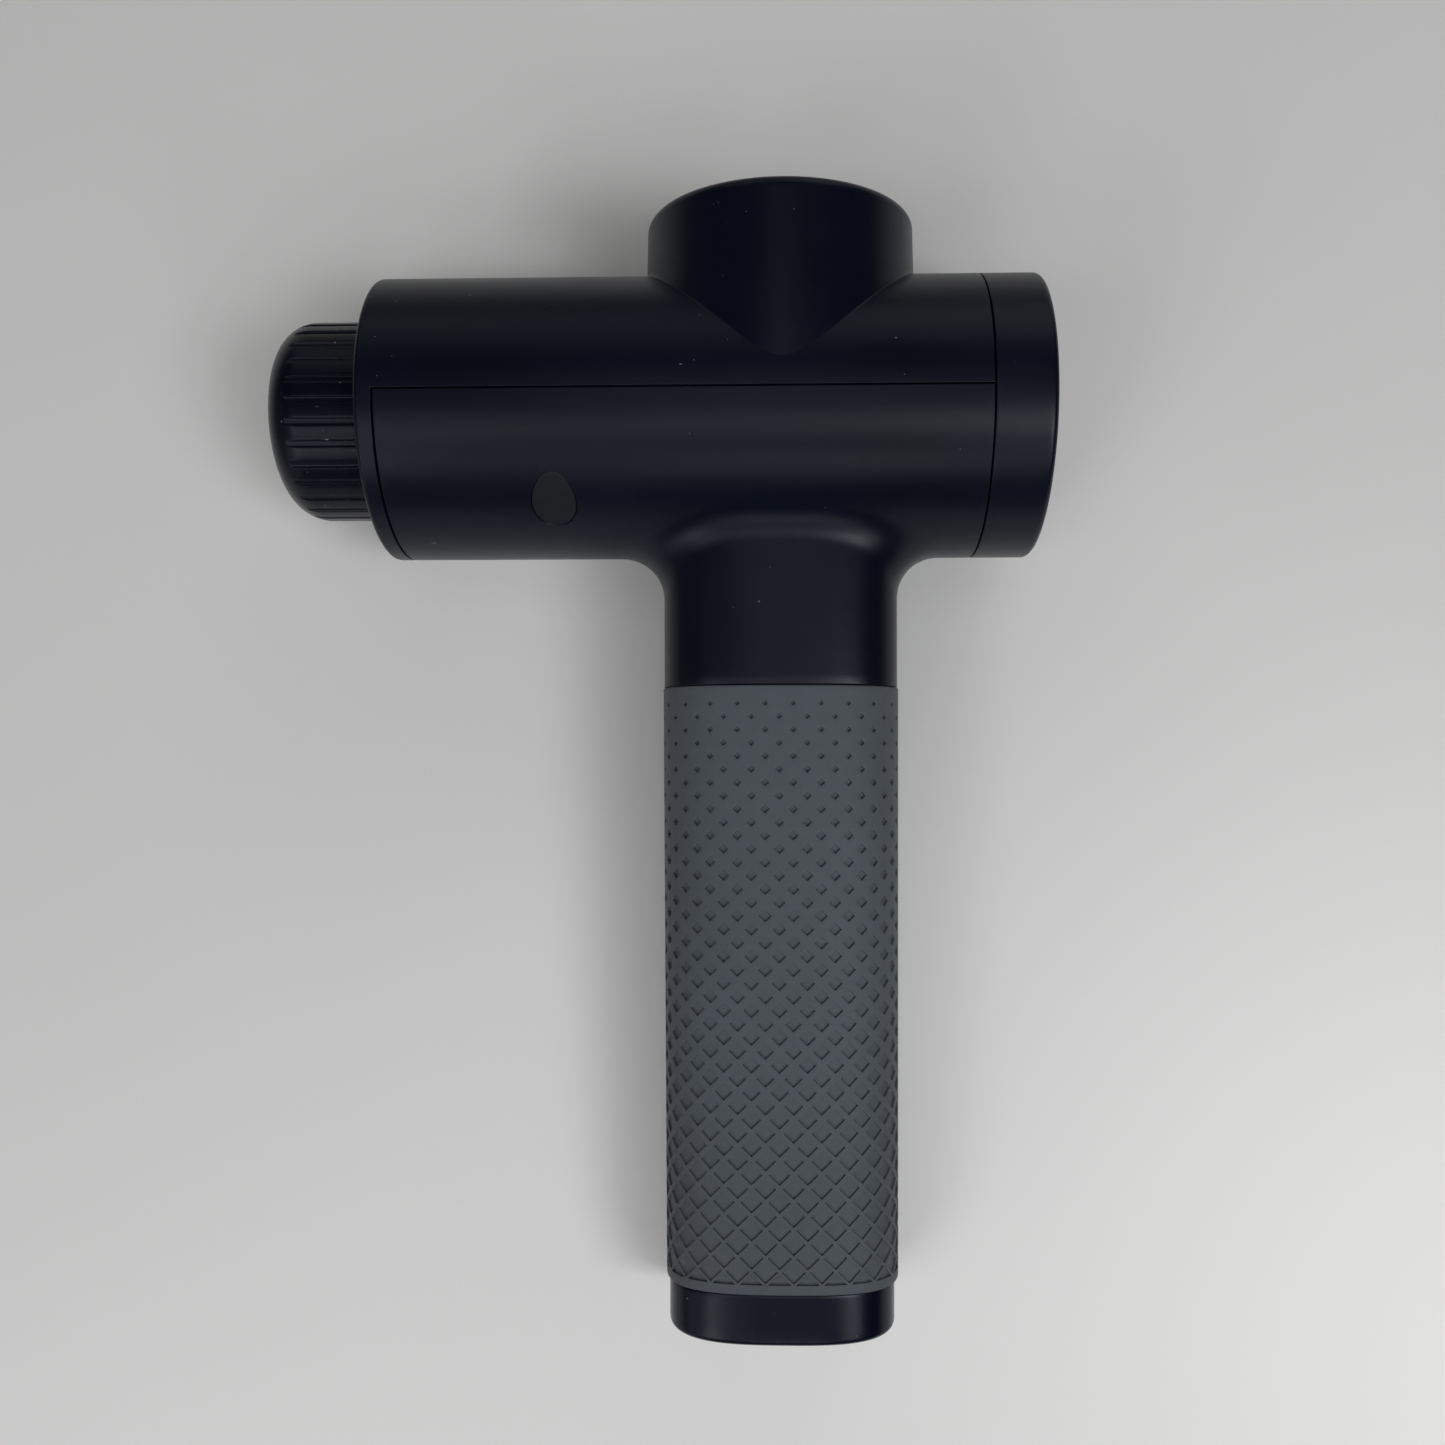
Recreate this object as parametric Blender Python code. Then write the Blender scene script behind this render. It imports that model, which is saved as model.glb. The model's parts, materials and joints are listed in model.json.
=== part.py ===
"""Cordless massage gun: a round barrel across the top of an upright handle, a motor boss on the barrel,
a ribbed attachment socket that moves to and fro at its front end, and the drive, battery and electronics inside.

The gun lies on its side: +Z is up, -X is the working end (the socket), -Y runs down the handle.
All lengths below are millimetres in the gun's own frame, whose origin is where the barrel's axis meets the
handle's axis; the empty "gun_centre" shifts that frame so that the world origin is at the middle of the
object's underside. Blender works in metres.
"""

import math

import bmesh
import bpy
from mathutils import Vector

MM = 0.001

# ---- driving dimensions (mm) -------------------------------------------------------------------------
BARREL_R = 29.2
BARREL_WALL = 2.2
RING_FRONT_X = -82.73      # front end of the housing
RING_BACK_X = -79.07       # the lower shell starts just behind this
CAP_SEAM_X = 40.32         # both shells end here
CAP_END_X = 52.63
SEAM_HALF = 0.15           # half of the gap between the shells
PIECE_GAP = 0.3

BOSS_R = 28.1
BOSS_TOP_Y = 41.26
BOSS_WALL = 2.2

NECK_W, NECK_D, NECK_N = 24.43, 17.0, 3.0      # half width, half depth, superellipse exponent
FILLET_R = 9.5                                  # rolling-ball blend of neck and barrel
SLEEVE_TOP_Y, SLEEVE_END_Y = -56.4, -179.4
SLEEVE_W_TOP, SLEEVE_W_END = 24.53, 24.2
SLEEVE_D_TOP, SLEEVE_D_END = 17.1, 16.8
TUBE_W, TUBE_D = 22.75, 15.3                    # handle tube under the sleeve
HOLLOW_W, HOLLOW_D = 20.9, 13.5                 # battery bay
CAP_W, CAP_D = 23.56, 16.2
CAP_BOTTOM_Y = -190.06

COLLAR_R = 20.68
COLLAR_FRONT_X = -104.53
COLLAR_ROUND = 7.9
COLLAR_GROOVES = 30
GROOVE_PHASE = math.radians(7.5)
GROOVE_DEPTH = 0.43
GROOVE_WIDTH = 1.45
SOCKET_R = 9.2
SOCKET_DEPTH = 19.5

CRANK_THROW = 6.0          # half the stroke
ROD_LENGTH = 38.0
PISTON_R = 9.0
WRIST_X = CRANK_THROW - ROD_LENGTH               # the piston rests fully drawn back
PLUG_X, PLUG_Z, PLUG_R = -45.0, 20.3, 4.2
CELL_R, CELL_LENGTH = 9.1, 65.0
CELL_X = 9.6
BUTTON_TRAVEL = 0.8

OVERALL_X = (COLLAR_FRONT_X, CAP_END_X)
OVERALL_Y = (CAP_BOTTOM_Y, BOSS_TOP_Y)
CENTRE = Vector((-sum(OVERALL_X) / 2, -sum(OVERALL_Y) / 2, BARREL_R))

# ---- finishes: base colour, roughness, metallic ------------------------------------------------------
FINISH = {
    "black_plastic": ((0.018, 0.020, 0.024), 0.42, 0.0),
    "socket_plastic": ((0.016, 0.016, 0.020), 0.35, 0.0),
    "plug_rubber": ((0.020, 0.020, 0.024), 0.65, 0.0),
    "grip_silicone": ((0.085, 0.095, 0.105), 0.70, 0.0),
    "black_rubber": ((0.020, 0.020, 0.020), 0.80, 0.0),
    "smoked_lens": ((0.010, 0.010, 0.012), 0.10, 0.0),
    "steel": ((0.55, 0.55, 0.56), 0.30, 1.0),
    "aluminium": ((0.70, 0.71, 0.72), 0.35, 1.0),
    "bronze": ((0.62, 0.42, 0.18), 0.35, 1.0),
    "magnet": ((0.16, 0.16, 0.17), 0.40, 1.0),
    "copper": ((0.72, 0.34, 0.18), 0.35, 1.0),
    "nickel": ((0.66, 0.64, 0.60), 0.30, 1.0),
    "board_green": ((0.02, 0.16, 0.07), 0.45, 0.0),
    "cell_wrap": ((0.05, 0.22, 0.45), 0.35, 0.0),
    "holder_plastic": ((0.07, 0.07, 0.07), 0.50, 0.0),
    "lead_red": ((0.45, 0.02, 0.02), 0.45, 0.0),
    "clear_pipe": ((0.80, 0.82, 0.82), 0.15, 0.0),
}


def clear_scene():
    for obj in list(bpy.data.objects):
        bpy.data.objects.remove(obj, do_unlink=True)


def finish(node, kind):
    colour, roughness, metallic = FINISH[kind]
    mat = bpy.data.materials.new(node)
    mat.use_nodes = True
    shader = mat.node_tree.nodes["Principled BSDF"]
    shader.inputs["Base Color"].default_value = (*colour, 1.0)
    shader.inputs["Roughness"].default_value = roughness
    shader.inputs["Metallic"].default_value = metallic
    mat.diffuse_color = (*colour, 1.0)
    return mat


# ---- building blocks ---------------------------------------------------------------------------------
def to_object(name, bm, at, kind=None, parent=None):
    """Turns a bmesh given in gun millimetres into an object whose origin is the point `at`."""
    bmesh.ops.recalc_face_normals(bm, faces=bm.faces)
    shift = Vector(at)
    for vert in bm.verts:
        vert.co = (vert.co - shift) * MM
    mesh = bpy.data.meshes.new(name)
    bm.to_mesh(mesh)
    bm.free()
    mesh.shade_smooth()
    mesh.set_sharp_from_angle(angle=math.radians(32))
    obj = bpy.data.objects.new(name, mesh)
    bpy.context.scene.collection.objects.link(obj)
    obj.parent = parent or GUN
    base = Vector(parent["at"]) if parent else Vector((0, 0, 0))
    obj.location = (shift - base) * MM
    if kind:
        mesh.materials.append(finish(name, kind))
    else:
        obj.hide_render = True
        obj.display_type = "WIRE"
    return obj


def place(axis, h, a, b):
    """A point at height h along the axis and (a, b) across it."""
    return {"X": (h, a, b), "Y": (a, h, b), "Z": (a, b, h)}[axis]


def skin(bm, loops, close=False):
    """Quads between successive vertex loops of one length."""
    pairs = list(zip(loops, loops[1:]))
    if close:
        pairs.append((loops[-1], loops[0]))
    for one, two in pairs:
        for i in range(len(one)):
            j = (i + 1) % len(one)
            bm.faces.new((one[i], one[j], two[j], two[i]))


def lathe(name, axis, centre, profile, segs, kind=None, parent=None, at=None):
    """Revolves (radius, height) points about an axis. A profile that starts and ends at radius 0 makes a
    solid piece; any other is taken as a closed ring section."""
    bm = bmesh.new()
    solid = profile[0][0] == 0 and profile[-1][0] == 0
    rings = profile[1:-1] if solid else profile
    loops = []
    for r, h in rings:
        loop = []
        for i in range(segs):
            t = 2 * math.pi * i / segs
            a, b = r * math.cos(t), r * math.sin(t)
            loop.append(bm.verts.new(Vector(place(axis, h, a, b)) + Vector(centre)))
        loops.append(loop)
    skin(bm, loops, close=not solid)
    if solid:
        bm.faces.new(loops[0])
        bm.faces.new(loops[-1])
    return to_object(name, bm, at if at is not None else centre, kind, parent)


def rod(name, axis, centre, r, lo, hi, segs, kind=None, parent=None, at=None):
    return lathe(name, axis, centre, [(0, lo), (r, lo), (r, hi), (0, hi)], segs, kind, parent, at)


def ring(name, axis, centre, r_in, r_out, lo, hi, segs, kind=None, parent=None, at=None):
    return lathe(name, axis, centre, [(r_in, lo), (r_out, lo), (r_out, hi), (r_in, hi)], segs, kind, parent, at)


def loft(name, loops, at, kind=None, parent=None, close=False):
    """A closed solid through loops of points of one length, capped at both ends unless it closes on itself."""
    bm = bmesh.new()
    made = [[bm.verts.new(p) for p in loop] for loop in loops]
    skin(bm, made, close)
    if not close:
        bm.faces.new(made[0])
        bm.faces.new(made[-1])
    return to_object(name, bm, at, kind, parent)


def prism(name, axis, outline, lo, hi, at, kind=None, parent=None):
    loops = [[place(axis, h, a, b) for a, b in outline] for h in (lo, hi)]
    return loft(name, loops, at, kind, parent)


def block(name, lo, hi, kind=None, parent=None, at=None):
    outline = [(lo[0], lo[1]), (hi[0], lo[1]), (hi[0], hi[1]), (lo[0], hi[1])]
    middle = [(a + b) / 2 for a, b in zip(lo, hi)]
    return prism(name, "Z", outline, lo[2], hi[2], at if at is not None else middle, kind, parent)


def lead(name, points, radius, kind, parent=None):
    """An insulated lead: a poly curve through a smooth path."""
    path = smooth_path([Vector(p) for p in points], 2.6 * 2 * radius)
    curve = bpy.data.curves.new(name, "CURVE")
    curve.dimensions = "3D"
    spline = curve.splines.new("POLY")
    spline.points.add(len(path) - 1)
    for point, co in zip(spline.points, path):
        point.co = (*(co * MM), 1.0)
    curve.bevel_depth = radius * MM
    curve.bevel_resolution = 2
    curve.use_fill_caps = True
    curve.materials.append(finish(name, kind))
    obj = bpy.data.objects.new(name, curve)
    bpy.context.scene.collection.objects.link(obj)
    obj.parent = parent or GUN
    return obj


def smooth_path(points, step):
    """Points about `step` apart along a Catmull-Rom curve."""
    padded = [2 * points[0] - points[1], *points, 2 * points[-1] - points[-2]]
    fine = []
    for a, b, c, d in zip(padded, padded[1:], padded[2:], padded[3:]):
        for k in range(24):
            t = k / 24
            fine.append(
                0.5 * (2 * b + (c - a) * t + (2 * a - 5 * b + 4 * c - d) * t**2 + (3 * b - a - 3 * c + d) * t**3)
            )
    fine.append(points[-1])
    total = sum((q - p).length for p, q in zip(fine, fine[1:]))
    count = max(4, round(total / step))
    out, walked, target = [fine[0]], 0.0, total / count
    for p, q in zip(fine, fine[1:]):
        size = (q - p).length
        while size > 0 and walked + size >= target and len(out) < count:
            out.append(p.lerp(q, (target - walked) / size))
            target += total / count
        walked += size
    return [*out, fine[-1]]


def boolean(obj, other, operation):
    mod = obj.modifiers.new(f"{operation.lower()}_{other.name}", "BOOLEAN")
    mod.operation = operation
    mod.solver = "EXACT"
    mod.object = other
    return obj


def cut(obj, *others):
    for other in others:
        boolean(obj, other, "DIFFERENCE")
    return obj


def join(obj, *others):
    for other in others:
        boolean(obj, other, "UNION")
    return obj


def superellipse(a, b, n, count):
    """Points evenly spaced along |x/a|^n + |y/b|^n = 1, starting at (a, 0), with their outward normals."""
    fine = 1440
    raw = []
    for i in range(fine + 1):
        t = 2 * math.pi * i / fine
        c, s = math.cos(t), math.sin(t)
        raw.append((math.copysign(abs(c) ** (2 / n), c) * a, math.copysign(abs(s) ** (2 / n), s) * b))
    length = [0.0]
    for p, q in zip(raw, raw[1:]):
        length.append(length[-1] + math.dist(p, q))
    points, k = [], 0
    for i in range(count):
        target = length[-1] * i / count
        while length[k + 1] < target:
            k += 1
        f = (target - length[k]) / (length[k + 1] - length[k])
        points.append(tuple(p + (q - p) * f for p, q in zip(raw[k], raw[k + 1])))
    normals = []
    for x, y in points:
        gx = math.copysign(abs(x / a) ** (n - 1) / a, x) if abs(x) > 1e-6 else 0.0
        gy = math.copysign(abs(y / b) ** (n - 1) / b, y) if abs(y) > 1e-6 else 0.0
        size = math.hypot(gx, gy)
        normals.append((gx / size, gy / size))
    return points, normals


def outline_at(a, b, count, n=NECK_N):
    return superellipse(a, b, n, count)[0]


def half_disc(r, side, segs):
    """The (y, z) outline of the part of a disc above (+1) or below (-1) the seam gap."""
    edge = math.sqrt(r * r - SEAM_HALF**2)
    points = [(side * SEAM_HALF, -side * edge)]
    for i in range(1, segs // 2):
        t = -math.pi / 2 + 2 * math.pi * i / segs
        points.append((side * r * math.cos(t), side * r * math.sin(t)))
    points.append((side * SEAM_HALF, side * edge))
    return points


def circle(r, count, centre=(0, 0), start=0.0, stop=2 * math.pi, ends=False):
    steps = count if not ends else count - 1
    return [
        (centre[0] + r * math.cos(start + (stop - start) * i / steps), centre[1] + r * math.sin(start + (stop - start) * i / steps))
        for i in range(count)
    ]


clear_scene()
GUN = bpy.data.objects.new("gun_centre", None)
GUN.location = CENTRE * MM
GUN["at"] = (0.0, 0.0, 0.0)
bpy.context.scene.collection.objects.link(GUN)


def axis_empty(name, at, parent=None):
    """An empty on a joint's axis that carries a moving group."""
    empty = bpy.data.objects.new(name, None)
    base = Vector(parent["at"]) if parent else Vector((0, 0, 0))
    empty.parent = parent or GUN
    empty.location = (Vector(at) - base) * MM
    empty["at"] = [float(v) for v in at]
    bpy.context.scene.collection.objects.link(empty)
    return empty


PISTON_AXIS = axis_empty("piston_axis", (0, 0, 0))
ROD_AXIS = axis_empty("connecting_rod_axis", (WRIST_X, 0, 0), PISTON_AXIS)
ROTOR_AXIS = axis_empty("rotor_axis", (0, 0, 0))
BUTTON_AXIS = axis_empty("button_axis", (CAP_END_X, 0, 0))

ROUND = 48        # sides of the large round pieces
GRIP_POINTS = 40  # points round the handle

# ---- shells ------------------------------------------------------------------------------------------
barrel_hollow = rod("cut_barrel_hollow", "X", (0, 0, 0), BARREL_R - BARREL_WALL, RING_BACK_X - 0.53, CAP_SEAM_X + 20, ROUND)
lower_hollow = rod("cut_lower_hollow", "X", (0, 0, 0), BARREL_R - BARREL_WALL, RING_BACK_X - 20, CAP_SEAM_X + 20, ROUND)


def make_upper_housing():
    shell = prism("upper_housing", "X", half_disc(BARREL_R, 1, ROUND), RING_BACK_X - 1.0, CAP_SEAM_X, (0, 0, 0), "black_plastic")
    front = lathe(
        "add_front_ring", "X", (0, 0, 0),
        [(0, RING_FRONT_X), (BARREL_R - 1.1, RING_FRONT_X), (BARREL_R - 0.33, RING_FRONT_X + 0.33),
         (BARREL_R, RING_FRONT_X + 1.1), (BARREL_R, RING_BACK_X), (0, RING_BACK_X)], ROUND)
    boss = lathe(
        "add_motor_boss", "Y", (0, 0, 0),
        [(0, 4.0), (BOSS_R, 4.0), (BOSS_R, BOSS_TOP_Y - 1.8), (BOSS_R - 0.53, BOSS_TOP_Y - 0.53),
         (BOSS_R - 1.8, BOSS_TOP_Y), (0, BOSS_TOP_Y)], ROUND)
    join(shell, front, boss)
    cut(shell, barrel_hollow,
        rod("cut_ring_bore", "X", (0, 0, 0), COLLAR_R + 0.72, RING_FRONT_X - 5, RING_BACK_X + 3, ROUND),
        rod("cut_boss_hollow", "Y", (0, 0, 0), BOSS_R - BOSS_WALL, -6, BOSS_TOP_Y - BOSS_WALL, ROUND))
    for side, tag in ((1, "left"), (-1, "right")):
        spot = (PLUG_X, 0, side * PLUG_Z)
        join(shell, rod(f"add_upper_post_{tag}", "Y", spot, 3.5, 0.45, 16.2, 20))
        cut(shell, rod(f"cut_upper_post_{tag}", "Y", spot, 1.75, -2, 12.0, 12))
    return shell


def neck_loops(count):
    """Loops of the handle's outside from the bottom up: tube, step for the sleeve, neck, and the blend that a
    ball of radius FILLET_R rolls between neck and barrel, ending just inside the barrel."""
    tube, _ = superellipse(TUBE_W, TUBE_D, NECK_N, count)
    neck, normals = superellipse(NECK_W, NECK_D, NECK_N, count)
    loops = [
        [(x, SLEEVE_END_Y, z) for x, z in tube],
        [(x, SLEEVE_TOP_Y + PIECE_GAP, z) for x, z in tube],
        [(x, SLEEVE_TOP_Y + PIECE_GAP, z) for x, z in neck],
    ]
    steps = 4
    arcs = [[] for _ in range(steps + 1)]
    inner = []
    for (x, z), (nx, nz) in zip(neck, normals):
        far = BARREL_R + FILLET_R
        ox, oz = x + FILLET_R * nx, z + FILLET_R * nz
        oy = -math.sqrt(far * far - oz * oz)
        ball = Vector((ox, oy, oz))
        start = Vector((x, oy, z)) - ball
        end = Vector((ox, oy * BARREL_R / far, oz * BARREL_R / far)) - ball
        angle = start.angle(end)
        for k in range(steps + 1):
            t = k / steps
            p = ball + (math.sin((1 - t) * angle) * start + math.sin(t * angle) * end) / math.sin(angle)
            if k == steps:
                shrink = (BARREL_R - 0.2) / BARREL_R
                p = Vector((p.x, p.y * shrink, p.z * shrink))
            arcs[k].append(tuple(p))
        inner.append((ox * 0.8, -15.0, oz * 0.45))
    return [*loops, *arcs, inner]


def make_lower_housing():
    shell = prism("lower_housing", "X", half_disc(BARREL_R, -1, ROUND), RING_BACK_X + 0.4, CAP_SEAM_X, (0, 0, 0), "black_plastic")
    join(shell, loft("add_neck", neck_loops(GRIP_POINTS), (0, 0, 0)))
    cut(shell, lower_hollow,
        prism("cut_battery_bay", "Y", outline_at(HOLLOW_W, HOLLOW_D, GRIP_POINTS), -200, -16, (0, 0, 0)))
    for side, tag in ((1, "left"), (-1, "right")):
        spot = (PLUG_X, 0, side * PLUG_Z)
        well = rod(f"add_well_{tag}", "Y", spot, 5.6, -40, -6.0, 24)
        boolean(well, rod(f"trim_well_{tag}", "X", (PLUG_X, 0, 0), BARREL_R - 0.9, -12, 12, ROUND), "INTERSECT")
        join(shell, well, rod(f"add_lower_post_{tag}", "Y", spot, 3.4, -7.0, -0.45, 20))
        cut(shell, rod(f"cut_well_{tag}", "Y", spot, PLUG_R + 0.3, -40, -8.0, 24),
            rod(f"cut_lower_post_{tag}", "Y", spot, 1.95, -9, 3, 12))
    for x in (-22.6, 24.6):
        join(shell, rod(f"add_board_post_{'front' if x < 0 else 'rear'}", "Y", (x, 0, 0), 1.8, -28.0, -16.3, 12))
    return shell


make_upper_housing()
make_lower_housing()


def make_screw_plug(name, side):
    """A plug whose outer face follows the barrel: rings of points dropped onto a cylinder along X."""
    face_r = BARREL_R - 0.1
    loops, segs = [], 24
    top = []
    for i in range(segs):
        t = 2 * math.pi * i / segs
        top.append((PLUG_X + PLUG_R * math.cos(t), -12.0, side * PLUG_Z + PLUG_R * math.sin(t)))
    loops.append(top)
    for r in (PLUG_R, PLUG_R * 0.66, PLUG_R * 0.3):
        loop = []
        for i in range(segs):
            t = 2 * math.pi * i / segs
            z = side * PLUG_Z + r * math.sin(t)
            loop.append((PLUG_X + r * math.cos(t), -math.sqrt(face_r**2 - z * z), z))
        loops.append(loop)
    return loft(name, loops, (PLUG_X, -16, side * PLUG_Z), "plug_rubber")


def screw(name, axis, centre, tip, neck, top, shank_r, head_r, kind="steel", parent=None, at=None):
    """A cylinder-head screw: shank from tip to neck, head from neck to top, with a socket in the head."""
    way = 1 if top > neck else -1
    profile = [(0, tip), (shank_r, tip), (shank_r, neck), (head_r, neck), (head_r, top), (head_r * 0.5, top),
               (head_r * 0.5, top - way * 0.6), (0, top - way * 0.6)]
    return lathe(name, axis, centre, profile, 8, kind, parent, at)


for side, tag in ((1, "left"), (-1, "right")):
    make_screw_plug(f"screw_plug_{tag}", side)
    screw(f"housing_screw_{tag}", "Y", (PLUG_X, 0, side * PLUG_Z), 11.0, -8.4, -10.4, 1.35, 3.3)

# ---- rear cap, display and button --------------------------------------------------------------------
LENS_R = 20.6
HOLE_R = 7.7
cap_profile = [
    (HOLE_R, 51.0), (HOLE_R, 49.2), (24.6, 49.2), (24.6, 36.6), (26.6, 36.6), (26.6, CAP_SEAM_X + PIECE_GAP),
    (BARREL_R, CAP_SEAM_X + PIECE_GAP), (BARREL_R, CAP_END_X - 1.0), (BARREL_R - 1.0, CAP_END_X), (LENS_R + 0.3, CAP_END_X), (LENS_R + 0.3, 51.0),
]
rear_cap = lathe("rear_cap", "X", (0, 0, 0), cap_profile, ROUND, "black_plastic")
for side, tag in ((1, "left"), (-1, "right")):
    join(rear_cap, rod(f"add_standoff_{tag}", "X", (0, 0, side * 18.0), 2.4, 45.8, 49.9, 12))
    cut(rear_cap, rod(f"cut_standoff_{tag}", "X", (0, 0, side * 18.0), 1.4, 45.0, 48.5, 8))
ring("display_lens", "X", (0, 0, 0), HOLE_R + 0.1, LENS_R, 51.3, 52.3, 32, "smoked_lens")
lathe("power_button", "X", (0, 0, 0),
      [(0, 52.1), (6.9, 52.1), (7.3, 51.7), (7.3, 48.9), (8.7, 48.9), (8.7, 47.9), (0, 47.9)],
      24, "black_plastic", BUTTON_AXIS, (CAP_END_X, 0, 0))
rod("dome_switch", "X", (0, 0, 0), 3.2, 45.8, 46.75, 16, "nickel")
display_board = rod("display_board", "X", (0, 0, 0), 22.0, 43.9, 45.5, 32, "board_green")
for side, tag, number in ((1, "left", 1), (-1, "right", 2)):
    cut(display_board, rod(f"cut_board_hole_{tag}", "X", (0, 0, side * 18.0), 1.45, 43, 47, 8))
    screw(f"display_screw_{number}", "X", (0, 0, side * 18.0), 48.1, 43.6, 42.3, 1.1, 2.4)

# ---- handle: sleeve, end cap, charging ----------------------------------------------------------------
def make_sleeve():
    outer_top = outline_at(SLEEVE_W_TOP, SLEEVE_D_TOP, GRIP_POINTS)
    outer_end = outline_at(SLEEVE_W_END, SLEEVE_D_END, GRIP_POINTS)
    inner = outline_at(TUBE_W + PIECE_GAP, TUBE_D + PIECE_GAP, GRIP_POINTS)
    ease_top = outline_at(SLEEVE_W_TOP - 0.4, SLEEVE_D_TOP - 0.4, GRIP_POINTS)
    ease_end = outline_at(SLEEVE_W_END - 0.4, SLEEVE_D_END - 0.4, GRIP_POINTS)
    loops = [
        [(x, SLEEVE_END_Y, z) for x, z in inner],
        [(x, SLEEVE_END_Y, z) for x, z in ease_end],
        [(x, SLEEVE_END_Y + 0.4, z) for x, z in outer_end],
        [(x, SLEEVE_TOP_Y - 0.4, z) for x, z in outer_top],
        [(x, SLEEVE_TOP_Y, z) for x, z in ease_top],
        [(x, SLEEVE_TOP_Y, z) for x, z in inner],
    ]
    return loft("grip_sleeve", loops, (0, (SLEEVE_TOP_Y + SLEEVE_END_Y) / 2, 0), "grip_silicone", close=True)


make_sleeve()


def make_end_cap():
    top = SLEEVE_END_Y - PIECE_GAP
    levels = [
        (CAP_BOTTOM_Y, 2.9), (CAP_BOTTOM_Y + 0.85, 0.85), (CAP_BOTTOM_Y + 2.9, 0.0), (top, -0.1),
    ]
    loops = [[(x, y, z) for x, z in outline_at(CAP_W - inset, CAP_D - inset, GRIP_POINTS)] for y, inset in levels]
    spigot = outline_at(HOLLOW_W - 0.4, HOLLOW_D - 0.4, GRIP_POINTS)
    bore = outline_at(HOLLOW_W - 2.0, HOLLOW_D - 2.0, GRIP_POINTS)
    loops += [
        [(x, top, z) for x, z in spigot],
        [(x, -175.6, z) for x, z in spigot],
        [(x, -175.6, z) for x, z in bore],
        [(x, CAP_BOTTOM_Y + 2.3, z) for x, z in bore],
    ]
    cap = loft("end_cap", loops, (0, CAP_BOTTOM_Y, 0), "black_plastic")
    cut(cap, rod("cut_jack_hole", "Y", (0, 0, 0), 5.0, -195, -186, 20),
        rod("cut_light_hole", "Y", (-11.5, 0, 0), 1.5, -195, -186, 12))
    return cap


make_end_cap()
lathe("charge_jack", "Y", (0, 0, 0),
      [(0, -178.6), (4.7, -178.6), (4.7, -186.3), (6.3, -186.3), (6.3, -187.4), (4.7, -187.4), (4.7, -189.7), (3.2, -189.7),
       (3.2, -180.6), (1.0, -180.6), (1.0, -188.6), (0, -188.6)], 20, "steel", at=(0, CAP_BOTTOM_Y, 0))
block("charge_board", (-16.0, -178.2, -6.0), (9.5, -177.0, 6.0), "board_green")
rod("charge_light", "Y", (-11.5, 0, 0), 1.2, -189.9, -178.6, 12, "clear_pipe")

# ---- battery -------------------------------------------------------------------------------------------
CELL_TOP_Y = -41.4
rows = (CELL_TOP_Y, CELL_TOP_Y - CELL_LENGTH - 1.3)
number = 1
for top in rows:
    for x in (-CELL_X, CELL_X):
        low = top - CELL_LENGTH
        lathe(f"battery_cell_{number}", "Y", (x, 0, 0),
              [(0, low), (CELL_R, low), (CELL_R, top - 0.7), (4.0, top - 0.7), (4.0, top), (0, top)], 16, "cell_wrap", at=(x, (top + low) / 2, 0))
        number += 1


def make_holder(name, top, bottom):
    """A plastic plate across the battery bay with two holes, flat on its underside for the leads."""
    outline = [(x, max(z, -10.4)) for x, z in outline_at(HOLLOW_W - 0.5, HOLLOW_D - 0.5, 24)]
    plate = prism(name, "Y", outline, bottom, top, (0, (top + bottom) / 2, 0), "holder_plastic")
    for x, tag in ((-CELL_X, "a"), (CELL_X, "b")):
        cut(plate, rod(f"cut_{name}_{tag}", "Y", (x, 0, 0), CELL_R + 0.32, bottom - 1, top + 1, 16))
    return plate


make_holder("cell_holder_top", -50.0, -56.0)
make_holder("cell_holder_middle", -97.0, -103.0)
make_holder("cell_holder_bottom", -162.0, -168.0)


def make_strip(name, y):
    outline = [*circle(5.0, 9, (CELL_X, 0), -math.pi / 2, math.pi / 2, True), *circle(5.0, 9, (-CELL_X, 0), math.pi / 2, 3 * math.pi / 2, True)]
    return prism(name, "Y", outline, y, y + 0.5, (0, y, 0), "nickel")


make_strip("cell_strip_top", CELL_TOP_Y + 0.35)
make_strip("cell_strip_middle", rows[1] + 0.4)
make_strip("cell_strip_bottom", rows[1] - CELL_LENGTH - 0.9)
block("battery_board", (-8.0, -158.0, 9.8), (8.0, -114.0, 11.2), "board_green")
block("control_board", (-26.0, -16.0, -13.0), (28.0, -14.4, 13.0), "board_green")
lead("battery_leads", [(-9.6, -40.15, 0), (-9.6, -37, 0), (-9.4, -31, 2.5), (-8, -22, 5), (-8, -19, 5), (-8, -16.35, 5)], 1.2, "lead_red")
lead("motor_leads", [(19.5, -13.9, 6), (19.5, -11.5, 6), (20.4, -6, 4), (21.6, -1, 1.2), (21.75, 4, 0.0), (21.75, 12.15, 0)], 1.2, "lead_red")
lead("display_lead", [(28.35, -15.2, 0), (31, -15.2, 0), (35.5, -13.6, 0), (39.5, -11, 0), (41.5, -10.2, 0), (43.55, -10.2, 0)], 0.9, "lead_red")

# ---- drive frame and motor ---------------------------------------------------------------------------
PLATE_LOW, PLATE_HIGH = 9.4, 12.2
TUBE_FRONT, TUBE_BACK = -76.0, -46.0


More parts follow.
